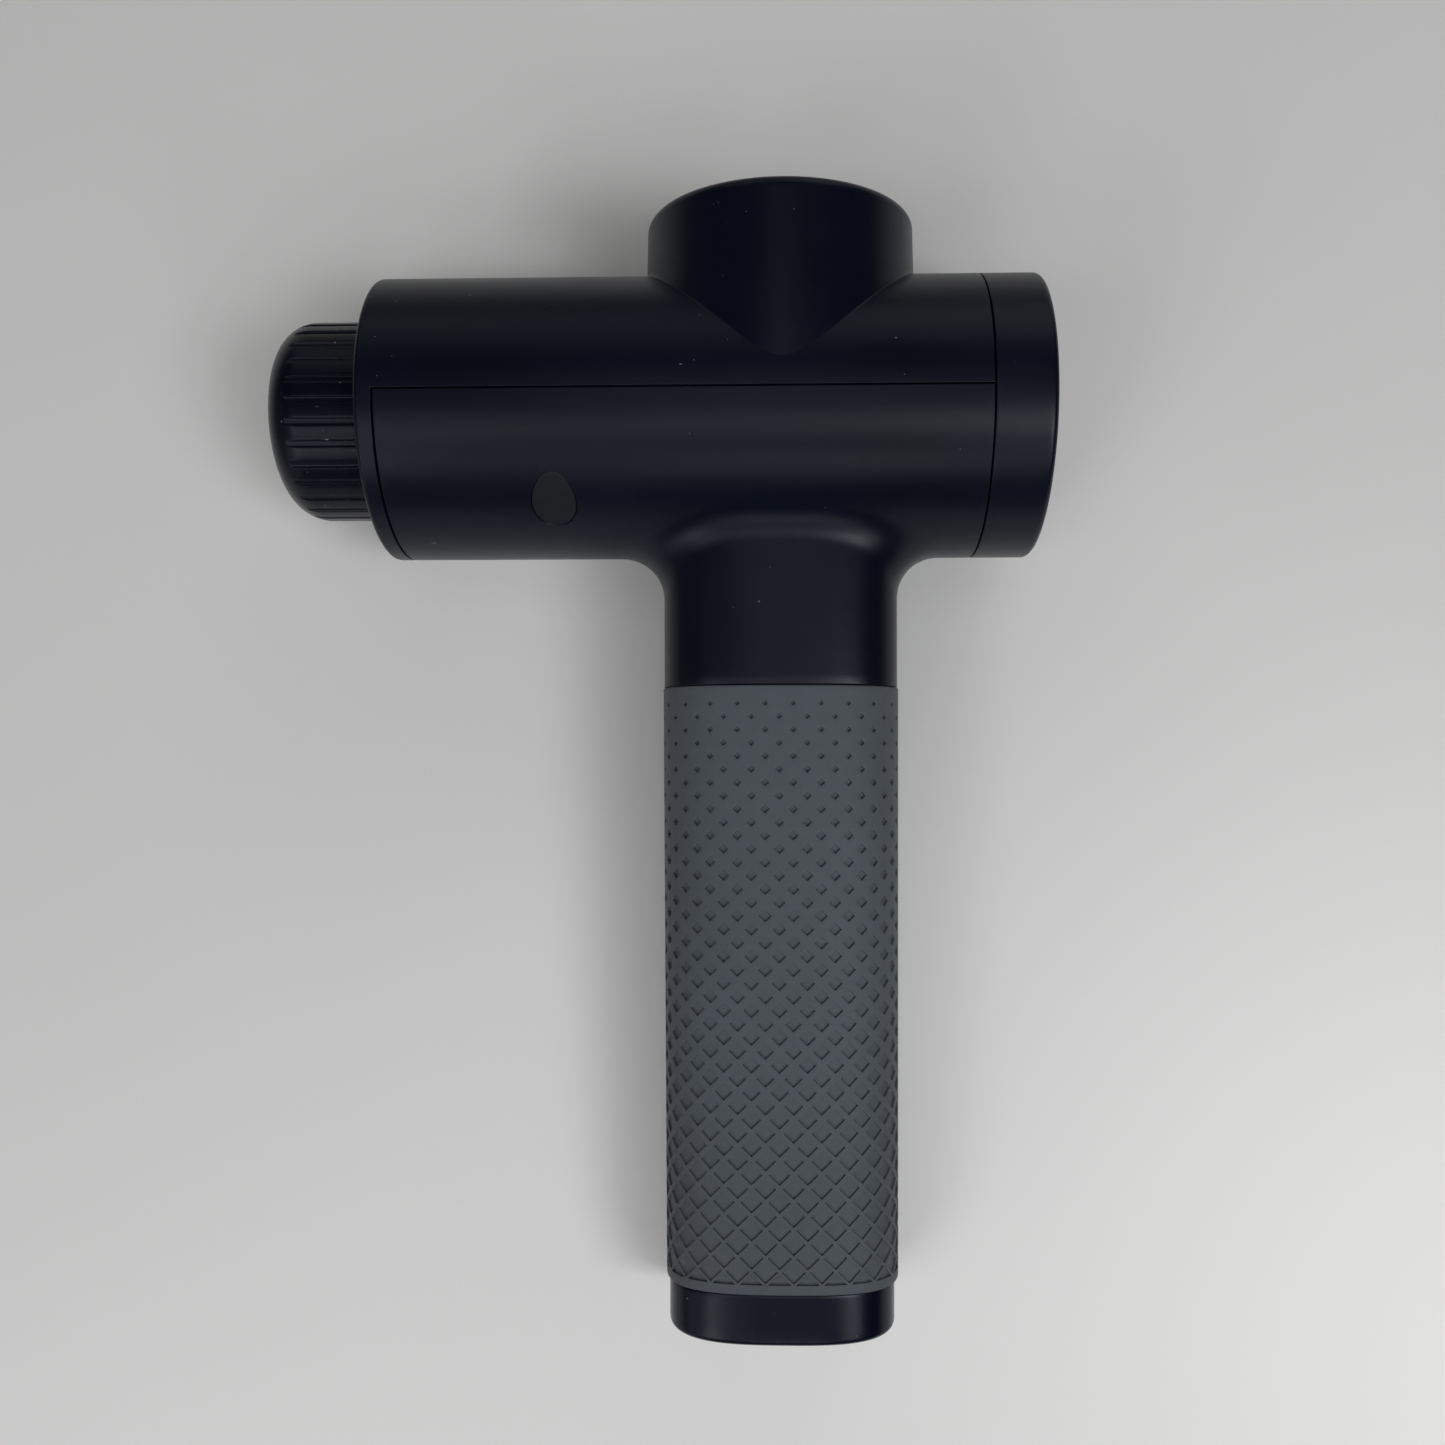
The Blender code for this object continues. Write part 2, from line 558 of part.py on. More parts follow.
def make_drive_frame():
    disc = circle(23.5, 32)
    keep = [p for p in disc if not (p[0] < 0 and abs(p[1]) < 12.0)]
    split = [i for i, p in enumerate(keep) if p[0] < 0 and p[1] > 0][-1]
    outline = [*keep[: split + 1], (keep[split][0], 12.0), (-58.4, 12.0), (-58.4, -12.0), (keep[split][0], -12.0), *keep[split + 1 :]]
    frame = prism("drive_frame", "Y", outline, PLATE_LOW, PLATE_HIGH, (0, PLATE_LOW, 0), "aluminium")
    join(frame, rod("add_guide_tube", "X", (0, 0, 0), 15.5, TUBE_FRONT, TUBE_BACK, 28))
    for side, tag in ((1, "left"), (-1, "right")):
        rib = block(f"add_rib_{tag}", (-57.9, PLATE_LOW + 1, side * 10.6 - 1.2), (-25.0, 16.4, side * 10.6 + 1.2))
        join(frame, rib)
    cut(frame, rod("cut_guide_bore", "X", (0, 0, 0), 12.3, TUBE_FRONT - 2, TUBE_BACK + 0.5, 24),
        rod("cut_shaft_hole", "Y", (0, 0, 0), 6.0, 8, 14, 16),
        rod("cut_lead_hole", "Y", (21.75, 0, 0), 1.65, 8, 14, 8))
    for n in range(4):
        t = math.radians(45 + 90 * n)
        spot = (18.0 * math.cos(t), 0, 18.0 * math.sin(t))
        cut(frame, rod(f"cut_motor_screw_{n}", "Y", spot, 1.7, 8, 14, 8),
            rod(f"cut_motor_screw_head_{n}", "Y", spot, 3.0, 8, 11.2, 8))
    return frame


make_drive_frame()
ring("guide_bush", "X", (0, 0, 0), PISTON_R + 0.3, 12.0, TUBE_FRONT + 0.6, TUBE_BACK - 0.6, 24, "bronze")
ring("front_damper", "X", (0, 0, 0), 15.9, 26.6, -64.4, -59.0, 28, "black_rubber")
ring("motor_damper", "Y", (0, 0, 0), 23.4, 25.4, 12.5, 15.2, 24, "black_rubber")
ring("dust_seal", "X", (0, 0, 0), COLLAR_R + 0.5, 26.6, -79.0, -77.0, 24, "black_rubber")

base_profile = [(5.8, 12.5), (23.0, 12.5), (23.0, 15.0), (7.4, 15.0), (7.4, 31.4), (5.8, 31.4)]
motor_base = lathe("motor_base", "Y", (0, 0, 0), base_profile, 24, "aluminium")
for n in range(4):
    t = math.radians(45 + 90 * n)
    spot = (18.0 * math.cos(t), 0, 18.0 * math.sin(t))
    cut(motor_base, rod(f"cut_base_hole_{n}", "Y", spot, 1.7, 11, 16, 8))
    screw(f"motor_screw_{n + 1}", "Y", spot, 14.6, 10.9, 9.7, 1.3, 2.6)
ring("motor_bearing_lower", "Y", (0, 0, 0), 2.8, 5.5, 12.8, 16.8, 16, "steel")
ring("motor_bearing_upper", "Y", (0, 0, 0), 2.8, 5.5, 27.0, 31.0, 16, "steel")

TEETH = 12


def make_stator():
    outline = []
    for n in range(TEETH):
        mid = 2 * math.pi * n / TEETH

        def polar(r, across=0.0, turn=0.0):
            t = mid + turn
            return (r * math.cos(t) - across * math.sin(t), r * math.sin(t) + across * math.cos(t))

        outline += [polar(9.5, -1.5), polar(16.6, -1.5), polar(16.6, 0, -math.radians(11.5)), polar(18.0, 0, -math.radians(12)),
                    polar(18.0), polar(18.0, 0, math.radians(12)), polar(16.6, 0, math.radians(11.5)), polar(16.6, 1.5), polar(9.5, 1.5)]
    core = prism("stator_core", "Y", outline, 17.0, 26.5, (0, 21.75, 0), "steel")
    return cut(core, rod("cut_stator_bore", "Y", (0, 0, 0), 7.8, 16, 28, 20))


def make_windings():
    copper = lathe("stator_windings", "Y", (0, 0, 0),
                   [(9.9, 15.7), (15.6, 15.7), (16.3, 16.4), (16.3, 27.1), (15.6, 27.8), (9.9, 27.8)],
                   24, "copper", at=(0, 21.75, 0))
    bm = bmesh.new()
    for n in range(TEETH):
        t = 2 * math.pi * n / TEETH
        c, s = math.cos(t), math.sin(t)
        corners = [[bm.verts.new((r * c - w * s, y, r * s + w * c)) for r, w in ((8.0, -1.8), (20.0, -1.8), (20.0, 1.8), (8.0, 1.8))]
                   for y in (16.7, 26.8)]
        skin(bm, corners)
        bm.faces.new(corners[0])
        bm.faces.new(corners[1])
    return cut(copper, to_object("cut_teeth", bm, (0, 21.75, 0)))


make_stator()
make_windings()

# ---- rotor group ---------------------------------------------------------------------------------------
bell = lathe("rotor_bell", "Y", (0, 0, 0),
             [(20.7, 16.0), (22.0, 16.0), (22.0, 33.4), (21.0, 34.4), (2.8, 34.4), (2.8, 31.7), (5.2, 31.7), (5.2, 32.4), (20.7, 32.4)],
             24, "aluminium", ROTOR_AXIS)
vents = bmesh.new()
for n in range(5):
    t = 2 * math.pi * n / 5
    low, high = [], []
    for a, b in circle(3.2, 8, (13.0 * math.cos(t), 13.0 * math.sin(t))):
        low.append(vents.verts.new((a, 31.0, b)))
        high.append(vents.verts.new((a, 36.0, b)))
    skin(vents, [low, high])
    vents.faces.new(low)
    vents.faces.new(high)
cut(bell, to_object("cut_bell_vents", vents, (0, 34, 0), parent=ROTOR_AXIS))
ring("rotor_magnets", "Y", (0, 0, 0), 18.6, 20.3, 17.0, 26.5, 24, "magnet", ROTOR_AXIS)
lathe("motor_shaft", "Y", (0, 0, 0), [(0, 4.9), (2.1, 4.9), (2.5, 5.3), (2.5, 33.8), (2.1, 34.2), (0, 34.2)], 12, "steel", ROTOR_AXIS)

DISC_LOW, DISC_HIGH = 4.6, 8.9


def make_crank_disc():
    """A disc round the shaft with a heavy sector opposite the crank pin's hole."""
    half = math.radians(72)
    heavy = circle(20.0, 17, (0, 0), math.pi - half, math.pi + half, True)
    light = circle(12.5, 15, (0, 0), -math.pi + half + 0.12, math.pi - half - 0.12, True)
    disc = prism("crank_disc", "Y", [*heavy, *light], DISC_LOW, DISC_HIGH, (0, 0, 0), "steel", ROTOR_AXIS)
    return cut(disc, rod("cut_crank_bore", "Y", (0, 0, 0), 2.8, 3, 10, 12, parent=ROTOR_AXIS),
               rod("cut_crank_pin_hole", "Y", (CRANK_THROW, 0, 0), 1.9, 3, 10, 8, parent=ROTOR_AXIS, at=(0, 0, 0)))


make_crank_disc()

# ---- connecting rod group --------------------------------------------------------------------------------
BIG_X = WRIST_X + ROD_LENGTH
eye_small, eye_big, beam = 5.5, 9.5, 3.1
a_small, a_big = math.asin(beam / eye_small), math.asin(beam / eye_big)
rod_outline = [
    *circle(eye_small, 13, (WRIST_X, 0), a_small, 2 * math.pi - a_small, True),
    *circle(eye_big, 19, (BIG_X, 0), -math.pi + a_big, math.pi - a_big, True),
]
connecting_rod = prism("connecting_rod", "Y", rod_outline, -3.0, 3.0, (WRIST_X, 0, 0), "aluminium", ROD_AXIS)
cut(connecting_rod, rod("cut_small_eye", "Y", (WRIST_X, 0, 0), 2.85, -5, 5, 14, parent=ROD_AXIS),
    rod("cut_big_eye", "Y", (BIG_X, 0, 0), 6.85, -5, 5, 20, parent=ROD_AXIS))
ring("big_end_bearing", "Y", (BIG_X, 0, 0), 3.35, 6.5, -2.8, 2.8, 20, "steel", ROD_AXIS, (WRIST_X, 0, 0))
lathe("crank_pin", "Y", (BIG_X, 0, 0), [(0, -4.6), (4.3, -4.6), (4.7, -4.2), (4.7, -3.3), (3.0, -3.3), (3.0, 4.2), (0, 4.2)], 14, "steel",
      ROD_AXIS, (WRIST_X, 0, 0))

# ---- piston group ----------------------------------------------------------------------------------------
piston = lathe("piston", "X", (0, 0, 0),
               [(0, -81.2), (PISTON_R - 0.5, -81.2), (PISTON_R, -80.7), (PISTON_R, -26.5), (PISTON_R - 0.5, -26.0), (0, -26.0)],
               24, "steel", PISTON_AXIS)
cut(piston, block("cut_rod_slot", (WRIST_X - 6.2, -3.4, -20), (-20, 3.4, 20), parent=PISTON_AXIS, at=(0, 0, 0)),
    rod("cut_wrist_hole", "Y", (WRIST_X, 0, 0), 2.8, -12, 12, 14, parent=PISTON_AXIS, at=(0, 0, 0)),
    rod("cut_piston_thread", "X", (0, 0, 0), 2.4, -85, -68, 8, parent=PISTON_AXIS))
rod("wrist_pin", "Y", (WRIST_X, 0, 0), 2.5, -8.3, 8.3, 14, "steel", PISTON_AXIS, (WRIST_X, 0, 0))

SOCKET_FLOOR = COLLAR_FRONT_X + SOCKET_DEPTH
SKIRT_BACK = -66.0


def make_socket():
    """The ribbed collar: a round-nosed cap with shallow lengthwise grooves, a hub with the socket and a skirt
    that stays inside the housing's front ring at full reach. Outside loops have three points for each groove,
    the others one."""
    half = GROOVE_WIDTH / 2 / COLLAR_R
    pitch = 2 * math.pi / COLLAR_GROOVES
    floor_r = COLLAR_R - GROOVE_DEPTH
    bm = bmesh.new()

    def outside(r, x):
        loop = []
        for n in range(COLLAR_GROOVES):
            for turn, rr in ((-half, r), (0.0, min(r, floor_r)), (half, r)):
                t = GROOVE_PHASE + n * pitch + turn
                loop.append(bm.verts.new((x, rr * math.cos(t), rr * math.sin(t))))
        return loop

    def inside(r, x):
        turns = [GROOVE_PHASE + n * pitch for n in range(COLLAR_GROOVES)]
        return [bm.verts.new((x, r * math.cos(t), r * math.sin(t))) for t in turns]

    nose = [(COLLAR_R - COLLAR_ROUND + COLLAR_ROUND * math.sin(a), COLLAR_FRONT_X + COLLAR_ROUND * (1 - math.cos(a)))
            for a in map(math.radians, (0, 30, 52, 72, 90))]
    outer = [outside(r, x) for r, x in nose] + [outside(COLLAR_R, SKIRT_BACK)]
    inner = [inside(r, x) for r, x in (
        (18.3, SKIRT_BACK), (18.3, -82.5), (2.6, -82.5), (2.6, SOCKET_FLOOR), (10.9, SOCKET_FLOOR), (10.9, COLLAR_FRONT_X + 0.4),
        (11.3, COLLAR_FRONT_X))]
    skin(bm, outer)
    skin(bm, inner)
    for wide, narrow in ((outer[-1], inner[0]), (outer[0], inner[-1])):
        for n in range(COLLAR_GROOVES):
            m = (n + 1) % COLLAR_GROOVES
            bm.faces.new([wide[3 * n + 1], wide[3 * n + 2], wide[3 * m], wide[3 * m + 1], narrow[m], narrow[n]])
    return to_object("attachment_socket", bm, (0, 0, 0), "socket_plastic", PISTON_AXIS)


make_socket()
lathe("socket_liner", "X", (0, 0, 0),
      [(SOCKET_R, SOCKET_FLOOR + 0.3 - 1.0), (SOCKET_R + 0.4, SOCKET_FLOOR - 0.3), (10.6, SOCKET_FLOOR - 0.3), (10.6, COLLAR_FRONT_X + 1.2),
       (SOCKET_R + 0.5, COLLAR_FRONT_X + 1.2), (SOCKET_R, COLLAR_FRONT_X + 1.9)], 30, "black_rubber", PISTON_AXIS)
screw("socket_screw", "X", (0, 0, 0), -69.0, SOCKET_FLOOR - 0.3, SOCKET_FLOOR - 2.6, 2.0, 4.2, parent=PISTON_AXIS)
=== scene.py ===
"""Looks of the cordless massage gun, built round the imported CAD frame.

Shapes are worked out in the gun's own frame in millimetres (origin where the barrel's axis meets the handle's
axis; -X towards the socket, +Y towards the motor boss, +Z up) and written to meshes in metres in the frame's
own coordinates. Each outer node of the CAD model is replaced by a finely modelled piece of the same size.
"""

import json
import math

import bmesh
import bpy
import numpy as np
from mathutils import Matrix, Vector

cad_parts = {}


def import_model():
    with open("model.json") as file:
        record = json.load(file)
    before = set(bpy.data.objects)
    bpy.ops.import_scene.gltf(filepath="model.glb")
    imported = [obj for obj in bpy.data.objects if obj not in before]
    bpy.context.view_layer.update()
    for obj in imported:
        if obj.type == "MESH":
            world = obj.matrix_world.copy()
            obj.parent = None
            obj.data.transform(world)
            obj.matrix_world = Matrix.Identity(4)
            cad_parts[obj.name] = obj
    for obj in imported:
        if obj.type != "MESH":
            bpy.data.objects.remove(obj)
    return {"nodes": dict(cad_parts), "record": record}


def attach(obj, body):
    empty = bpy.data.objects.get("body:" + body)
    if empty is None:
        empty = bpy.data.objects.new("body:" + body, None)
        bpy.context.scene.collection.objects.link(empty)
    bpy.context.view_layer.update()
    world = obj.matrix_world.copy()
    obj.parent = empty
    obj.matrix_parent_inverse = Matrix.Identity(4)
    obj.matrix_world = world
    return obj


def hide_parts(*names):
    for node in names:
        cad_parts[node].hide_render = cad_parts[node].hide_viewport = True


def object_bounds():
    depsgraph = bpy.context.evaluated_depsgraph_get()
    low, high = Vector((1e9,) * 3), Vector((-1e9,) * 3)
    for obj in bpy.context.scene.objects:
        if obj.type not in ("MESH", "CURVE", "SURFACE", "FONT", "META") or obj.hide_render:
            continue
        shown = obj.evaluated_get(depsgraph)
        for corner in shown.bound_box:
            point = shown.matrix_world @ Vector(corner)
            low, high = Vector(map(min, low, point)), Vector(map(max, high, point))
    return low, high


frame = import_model()
CAD_BOX = [[float(v) for v in corner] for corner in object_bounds()]
NODES = frame["nodes"]

MM = 0.001
pi = math.pi

# ---- sizes, as in the CAD model (mm) -------------------------------------------------------------------
R_BARREL, R_INSIDE = 29.2, 27.0
RING_FRONT, RING_BACK, RING_STEP, RING_BORE = -82.73, -79.07, -79.6, 21.4
LOWER_FRONT, SHELL_END = -78.67, 40.32
CAP_FRONT, CAP_BACK = 40.62, 52.63
SEAM = 0.15
EDGE = 0.16
R_BOSS, R_BOSS_IN, BOSS_TOP, BOSS_CEILING = 28.31, 25.9, 41.0, 39.06
BOSS_DRAFT = math.tan(math.radians(1.3))    # the boss narrows a little towards its top; R_BOSS is at y = 20
BOSS_RIM = 2.3
CREASE = 0.7
NECK_W, NECK_D = 24.43, 17.0
TUBE_W, TUBE_D = 22.75, 15.3
BAY_W, BAY_D = 20.9, 13.5
BLEND = 9.5
SLEEVE_TOP, SLEEVE_END = -56.75, -178.85
CAP_BOTTOM = -189.45
CAD_TOP = 41.26
R_COLLAR, COLLAR_FRONT = 20.68, -104.53
PLUG_X, PLUG_Z, PLUG_R = -45.0, 20.3, 4.2

low, high = CAD_BOX
SHIFT = np.array([low[0] * 1000 - COLLAR_FRONT, high[1] * 1000 - CAD_TOP, low[2] * 1000 + R_BARREL])


def world(p):
    return (np.asarray(p, float) + SHIFT) * MM


# ---- mesh building -------------------------------------------------------------------------------------
class Skin:
    """Patches of quads in gun millimetres that are sewn into one closed mesh."""

    def __init__(self):
        self.points, self.faces, self.count = [], [], 0

    def add(self, points):
        base = self.count
        points = np.asarray(points, float).reshape(-1, 3)
        self.points.append(points)
        self.count += len(points)
        return base

    def grid(self, rows, wrap=False, keep=None):
        """rows[m][n]: quads between neighbouring rows. keep(i, j) says which quads are made."""
        rows = np.asarray(rows, float)
        m, n = rows.shape[:2]
        base = self.add(rows)
        for i in range(m - 1):
            for j in range(n if wrap else n - 1):
                if keep is None or keep(i, j):
                    k = (j + 1) % n
                    self.faces.append((base + i * n + j, base + i * n + k, base + (i + 1) * n + k, base + (i + 1) * n + j))

    def polygon(self, loop):
        base = self.add(loop)
        self.faces.append(tuple(range(base, base + len(loop))))

    def fan(self, loop, centre):
        base = self.add([*loop, centre])
        n = len(loop)
        for i in range(n):
            self.faces.append((base + i, base + (i + 1) % n, base + n))

    def build(self, name, weld=0.003, sharp=38.0, on_radius=None):
        """on_radius: corners of near-radial faces at that distance from the barrel axis get exact radial normals."""
        points = (np.concatenate(self.points) + SHIFT) * MM
        mesh = bpy.data.meshes.new(name)
        mesh.from_pydata(points.tolist(), [], self.faces)
        bm = bmesh.new()
        bm.from_mesh(mesh)
        bmesh.ops.remove_doubles(bm, verts=bm.verts, dist=weld * MM)
        bmesh.ops.recalc_face_normals(bm, faces=bm.faces)
        for face in bm.faces:
            face.smooth = True
        bm.to_mesh(mesh)
        bm.free()
        mesh.set_sharp_from_angle(angle=math.radians(sharp))
        if on_radius:
            radial_normals(mesh, on_radius)
        obj = bpy.data.objects.new(name, mesh)
        bpy.context.scene.collection.objects.link(obj)
        return obj


def radial_normals(mesh, radius):
    """Shades the barrel as the true cylinder it is, however its quads lie."""
    points = np.empty(len(mesh.vertices) * 3, np.float32)
    mesh.vertices.foreach_get("co", points)
    points = points.reshape(-1, 3) / MM - SHIFT
    corners = np.empty(len(mesh.loops), np.int32)
    mesh.loops.foreach_get("vertex_index", corners)
    normals = np.empty(len(mesh.loops) * 3, np.float32)
    mesh.corner_normals.foreach_get("vector", normals)
    normals = normals.reshape(-1, 3)
    faces = np.empty(len(mesh.polygons) * 3, np.float32)
    mesh.polygons.foreach_get("normal", faces)
    sizes = np.empty(len(mesh.polygons), np.int32)
    mesh.polygons.foreach_get("loop_total", sizes)
    faces = np.repeat(faces.reshape(-1, 3), sizes, axis=0)
    at = points[corners]
    r = np.hypot(at[:, 1], at[:, 2])
    radial = np.stack([0 * r, at[:, 1] / np.maximum(r, 1e-6), at[:, 2] / np.maximum(r, 1e-6)], 1)
    near = (np.abs(r - radius) < 0.004) & ((faces * radial).sum(axis=1) > math.cos(math.radians(20)))
    normals[near] = radial[near]
    mesh.normals_split_custom_set(normals.tolist())


def lathe(axis, centre, profile, segs, start=0.0):
    """Rows of a revolved (radius, height) profile."""
    t = start + 2 * pi * np.arange(segs) / segs
    rows = []
    for r, h in profile:
        a, b = r * np.cos(t), r * np.sin(t)
        hh = np.full(segs, float(h))
        cols = {"X": (hh, a, b), "Y": (b, hh, a), "Z": (a, b, hh)}[axis]
        rows.append(np.stack(cols, 1) + np.asarray(centre, float))
    return rows


def turned(name, axis, centre, profile, segs, sharp=38.0):
    """A closed lathe piece. A profile that starts and ends on the axis is solid, any other is a ring."""
    skin = Skin()
    if profile[0][0] == 0 and profile[-1][0] == 0:
        rows = lathe(axis, centre, profile[1:-1], segs)
        skin.grid(rows, wrap=True)
        for loop, (_, h) in ((rows[0], profile[0]), (rows[-1], profile[-1])):
            tip = {"X": (h, 0, 0), "Y": (0, h, 0), "Z": (0, 0, h)}[axis]
            skin.fan(loop, np.asarray(tip, float) + np.asarray(centre, float))
    else:
        rows = lathe(axis, centre, [*profile, profile[0]], segs)
        skin.grid(rows, wrap=True)
    return skin.build(name, sharp=sharp)


def rounded(corners, segs=4):
    """An (r, h) outline with its corners eased: corners are (r, h, radius)."""
    out = []
    n = len(corners)
    for i, (r, h, q) in enumerate(corners):
        if q == 0:
            out.append((r, h))
            continue
        p = np.array([r, h], float)
        a = np.array(corners[i - 1][:2], float) - p
        b = np.array(corners[(i + 1) % n][:2], float) - p
        a, b = a / np.linalg.norm(a), b / np.linalg.norm(b)
        half = math.acos(max(-1.0, min(1.0, float(a @ b)))) / 2
        reach = q / math.tan(half)
        centre = p + (a + b) / np.linalg.norm(a + b) * q / math.sin(half)
        s, e = p + a * reach - centre, p + b * reach - centre
        sweep = math.acos(max(-1.0, min(1.0, float(s @ e) / q / q)))
        for k in range(segs + 1):
            f = k / segs
            v = (math.sin((1 - f) * sweep) * s + math.sin(f * sweep) * e) / math.sin(sweep)
            out.append(tuple(centre + v))
    return out


def on_barrel(x, phi, r, side):
    """A point of the cylinder round X: phi is measured from side*Y towards +Z."""
    x, phi = np.asarray(x, float), np.asarray(phi, float)
    x, phi = np.broadcast_arrays(x, phi)
    return np.stack([x, side * r * np.cos(phi), r * np.sin(phi)], -1)


# The seam edge of a half shell: the barrel's round surface ends at PHI_C, then an arc of radius EDGE turns
# onto the flat seam face.
Z_C = math.sqrt((R_BARREL - EDGE) ** 2 - (SEAM + EDGE) ** 2)
PHI_C = math.atan2(Z_C, SEAM + EDGE)
SEAM_STEPS = 3


def seam_arc(x, side, zside, q=EDGE, y0=SEAM):
    """Points of the eased seam edge after the round surface, at one x."""
    out = []
    for k in range(1, SEAM_STEPS + 1):
        a = PHI_C + (pi - PHI_C) * k / SEAM_STEPS
        out.append((x, side * (SEAM + EDGE + q * math.cos(a)), zside * (Z_C + q * math.sin(a))))
    return out


def graded(n, near=0.0, far=0.0):
    """0..1 in n even steps, with one more close to each end where asked."""
    s = list(np.linspace(0, 1, n + 1))
    if near:
        s.insert(1, near)
    if far:
        s.insert(-1, 1 - far)
    return np.array(s)


def ball_arc(start, end, ball, steps):
    """Points on the arc round ball from start to end, as rows [step][sample]."""
    a, b = start - ball, end - ball
    ra = np.linalg.norm(a, axis=1)
    cos = np.clip((a * b).sum(1) / ra / np.linalg.norm(b, axis=1), -1, 1)
    sweep = np.maximum(np.arccos(cos), 1e-6)[:, None]
    rows = []
    for k in range(steps + 1):
        f = k / steps
        rows.append(ball + (np.sin((1 - f) * sweep) * a + np.sin(f * sweep) * b) / np.sin(sweep))
    return rows


# ---- superellipse sections of the handle -----------------------------------------------------------------
POWER = 3.0


def section(t, a, b, y):
    """Points of the handle's section at height y (a number or one for each sample)."""
    c, s = np.cos(t), np.sin(t)
    x = np.sign(c) * np.abs(c) ** (2 / POWER) * a
    z = np.sign(s) * np.abs(s) ** (2 / POWER) * b
    return np.stack([x, np.broadcast_to(np.asarray(y, float), x.shape), z], -1)


def section_normal(t, a, b):
    c, s = np.abs(np.cos(t)), np.abs(np.sin(t))
    k = 2 * (POWER - 1) / POWER
    nx = np.sign(np.cos(t)) * c**k / a
    nz = np.sign(np.sin(t)) * s**k / b
    size = np.hypot(nx, nz)
    return nx / size, nz / size


FINE_T = np.linspace(0, 2 * pi, 28801)
_p = section(FINE_T, NECK_W, NECK_D, 0.0)
_nx, _nz = section_normal(FINE_T, NECK_W, NECK_D)
_step = np.hypot(np.diff(_p[:, 0]), np.diff(_p[:, 2]))
_turn = np.abs(np.angle(np.exp(1j * np.diff(np.arctan2(_nz, _nx)))))
ARC = np.concatenate([[0], np.cumsum(_step)])
TURN = np.concatenate([[0], np.cumsum(_turn)])
WEIGHT = 0.55 * ARC / ARC[-1] + 0.45 * TURN / TURN[-1]


def t_between(psi0, psi1, n):
    """n+1 section parameters from normal angle psi0 to psi1, spaced by length and turning together."""
    w0, w1 = (np.interp(psi, TURN, WEIGHT) for psi in (psi0, psi1))
    return np.interp(np.linspace(w0, w1, n + 1), WEIGHT, FINE_T)


# ---- upper housing -----------------------------------------------------------------------------------------
def ease(x, top):
    return top - EDGE + EDGE * math.sin(x)


def shell_end(skin, outer, inner, side, x_flat, x_end):
    """Closes a half shell at its end plane. outer and inner are rows of phi at that end (with +-PHI_C at their
    ends); the last column stands at x_flat and the plane is x_end. Edges there are eased by EDGE."""
    rows = []
    for k in range(4):
        a = pi / 2 * k / 3
        x = x_flat + (x_end - x_flat) * math.sin(a)
        q = EDGE * math.cos(a)
        row = [*seam_arc(x, side, -1, q)[::-1]]
        row += on_barrel(x, outer, R_BARREL - EDGE + q, side).tolist()
        row += seam_arc(x, side, 1, q)
        rows.append(row)
    skin.grid(rows)
    for zside in (-1, 1):  # the seam face's own eased end
        face = []
        for k in range(4):
            a = pi / 2 * k / 3
            x = x_flat + (x_end - x_flat) * math.sin(a)
            y = side * (SEAM + EDGE - EDGE * math.cos(a))
            face.append([(x, y, zside * Z_C), (x, y, zside * math.sqrt(R_INSIDE**2 - y * y))])
        skin.grid(face)
        rim = on_barrel(x_flat, zside * inner[-1], R_INSIDE, side)
        rim_end = on_barrel(x_end, zside * inner[-1], R_INSIDE, side)
        end_pts = [row[1] for row in face]
        skin.polygon([rim, rim_end, *end_pts[::-1]])
    inner_end = on_barrel(x_end, inner, R_INSIDE, side)
    skin.grid([on_barrel(x_flat, inner, R_INSIDE, side), inner_end])
    corner = [(x_end, side * (SEAM + EDGE), z * Z_C) for z in (-1, 1)]
    corner_in = [(x_end, side * (SEAM + EDGE), z * math.sqrt(R_INSIDE**2 - (SEAM + EDGE) ** 2)) for z in (-1, 1)]
    outs = [corner[0], *on_barrel(x_end, outer, R_BARREL - EDGE, side).tolist(), corner[1]]
    ins = [corner_in[0], *inner_end.tolist(), corner_in[1]]
    skin.grid([outs, ins])


def seam_face(skin, xs_out, xs_in, side, zside, middle=None):
    """The flat seam face between the eased outer edge and the inside. middle is a point between the two at its
    first end, where it meets a face that has one there."""
    z_in = math.sqrt(R_INSIDE**2 - SEAM**2)
    a = [(x, side * SEAM, zside * Z_C) for x in xs_out]
    b = [(x, side * SEAM, zside * z_in) for x in xs_in]
    if middle is not None:
        skin.polygon([a[0], (xs_out[0], side * SEAM, zside * middle), b[0], b[1], a[1]])
        a, b = a[1:], b[1:]
    skin.grid([a, b])


INNER_PHI = 0.995


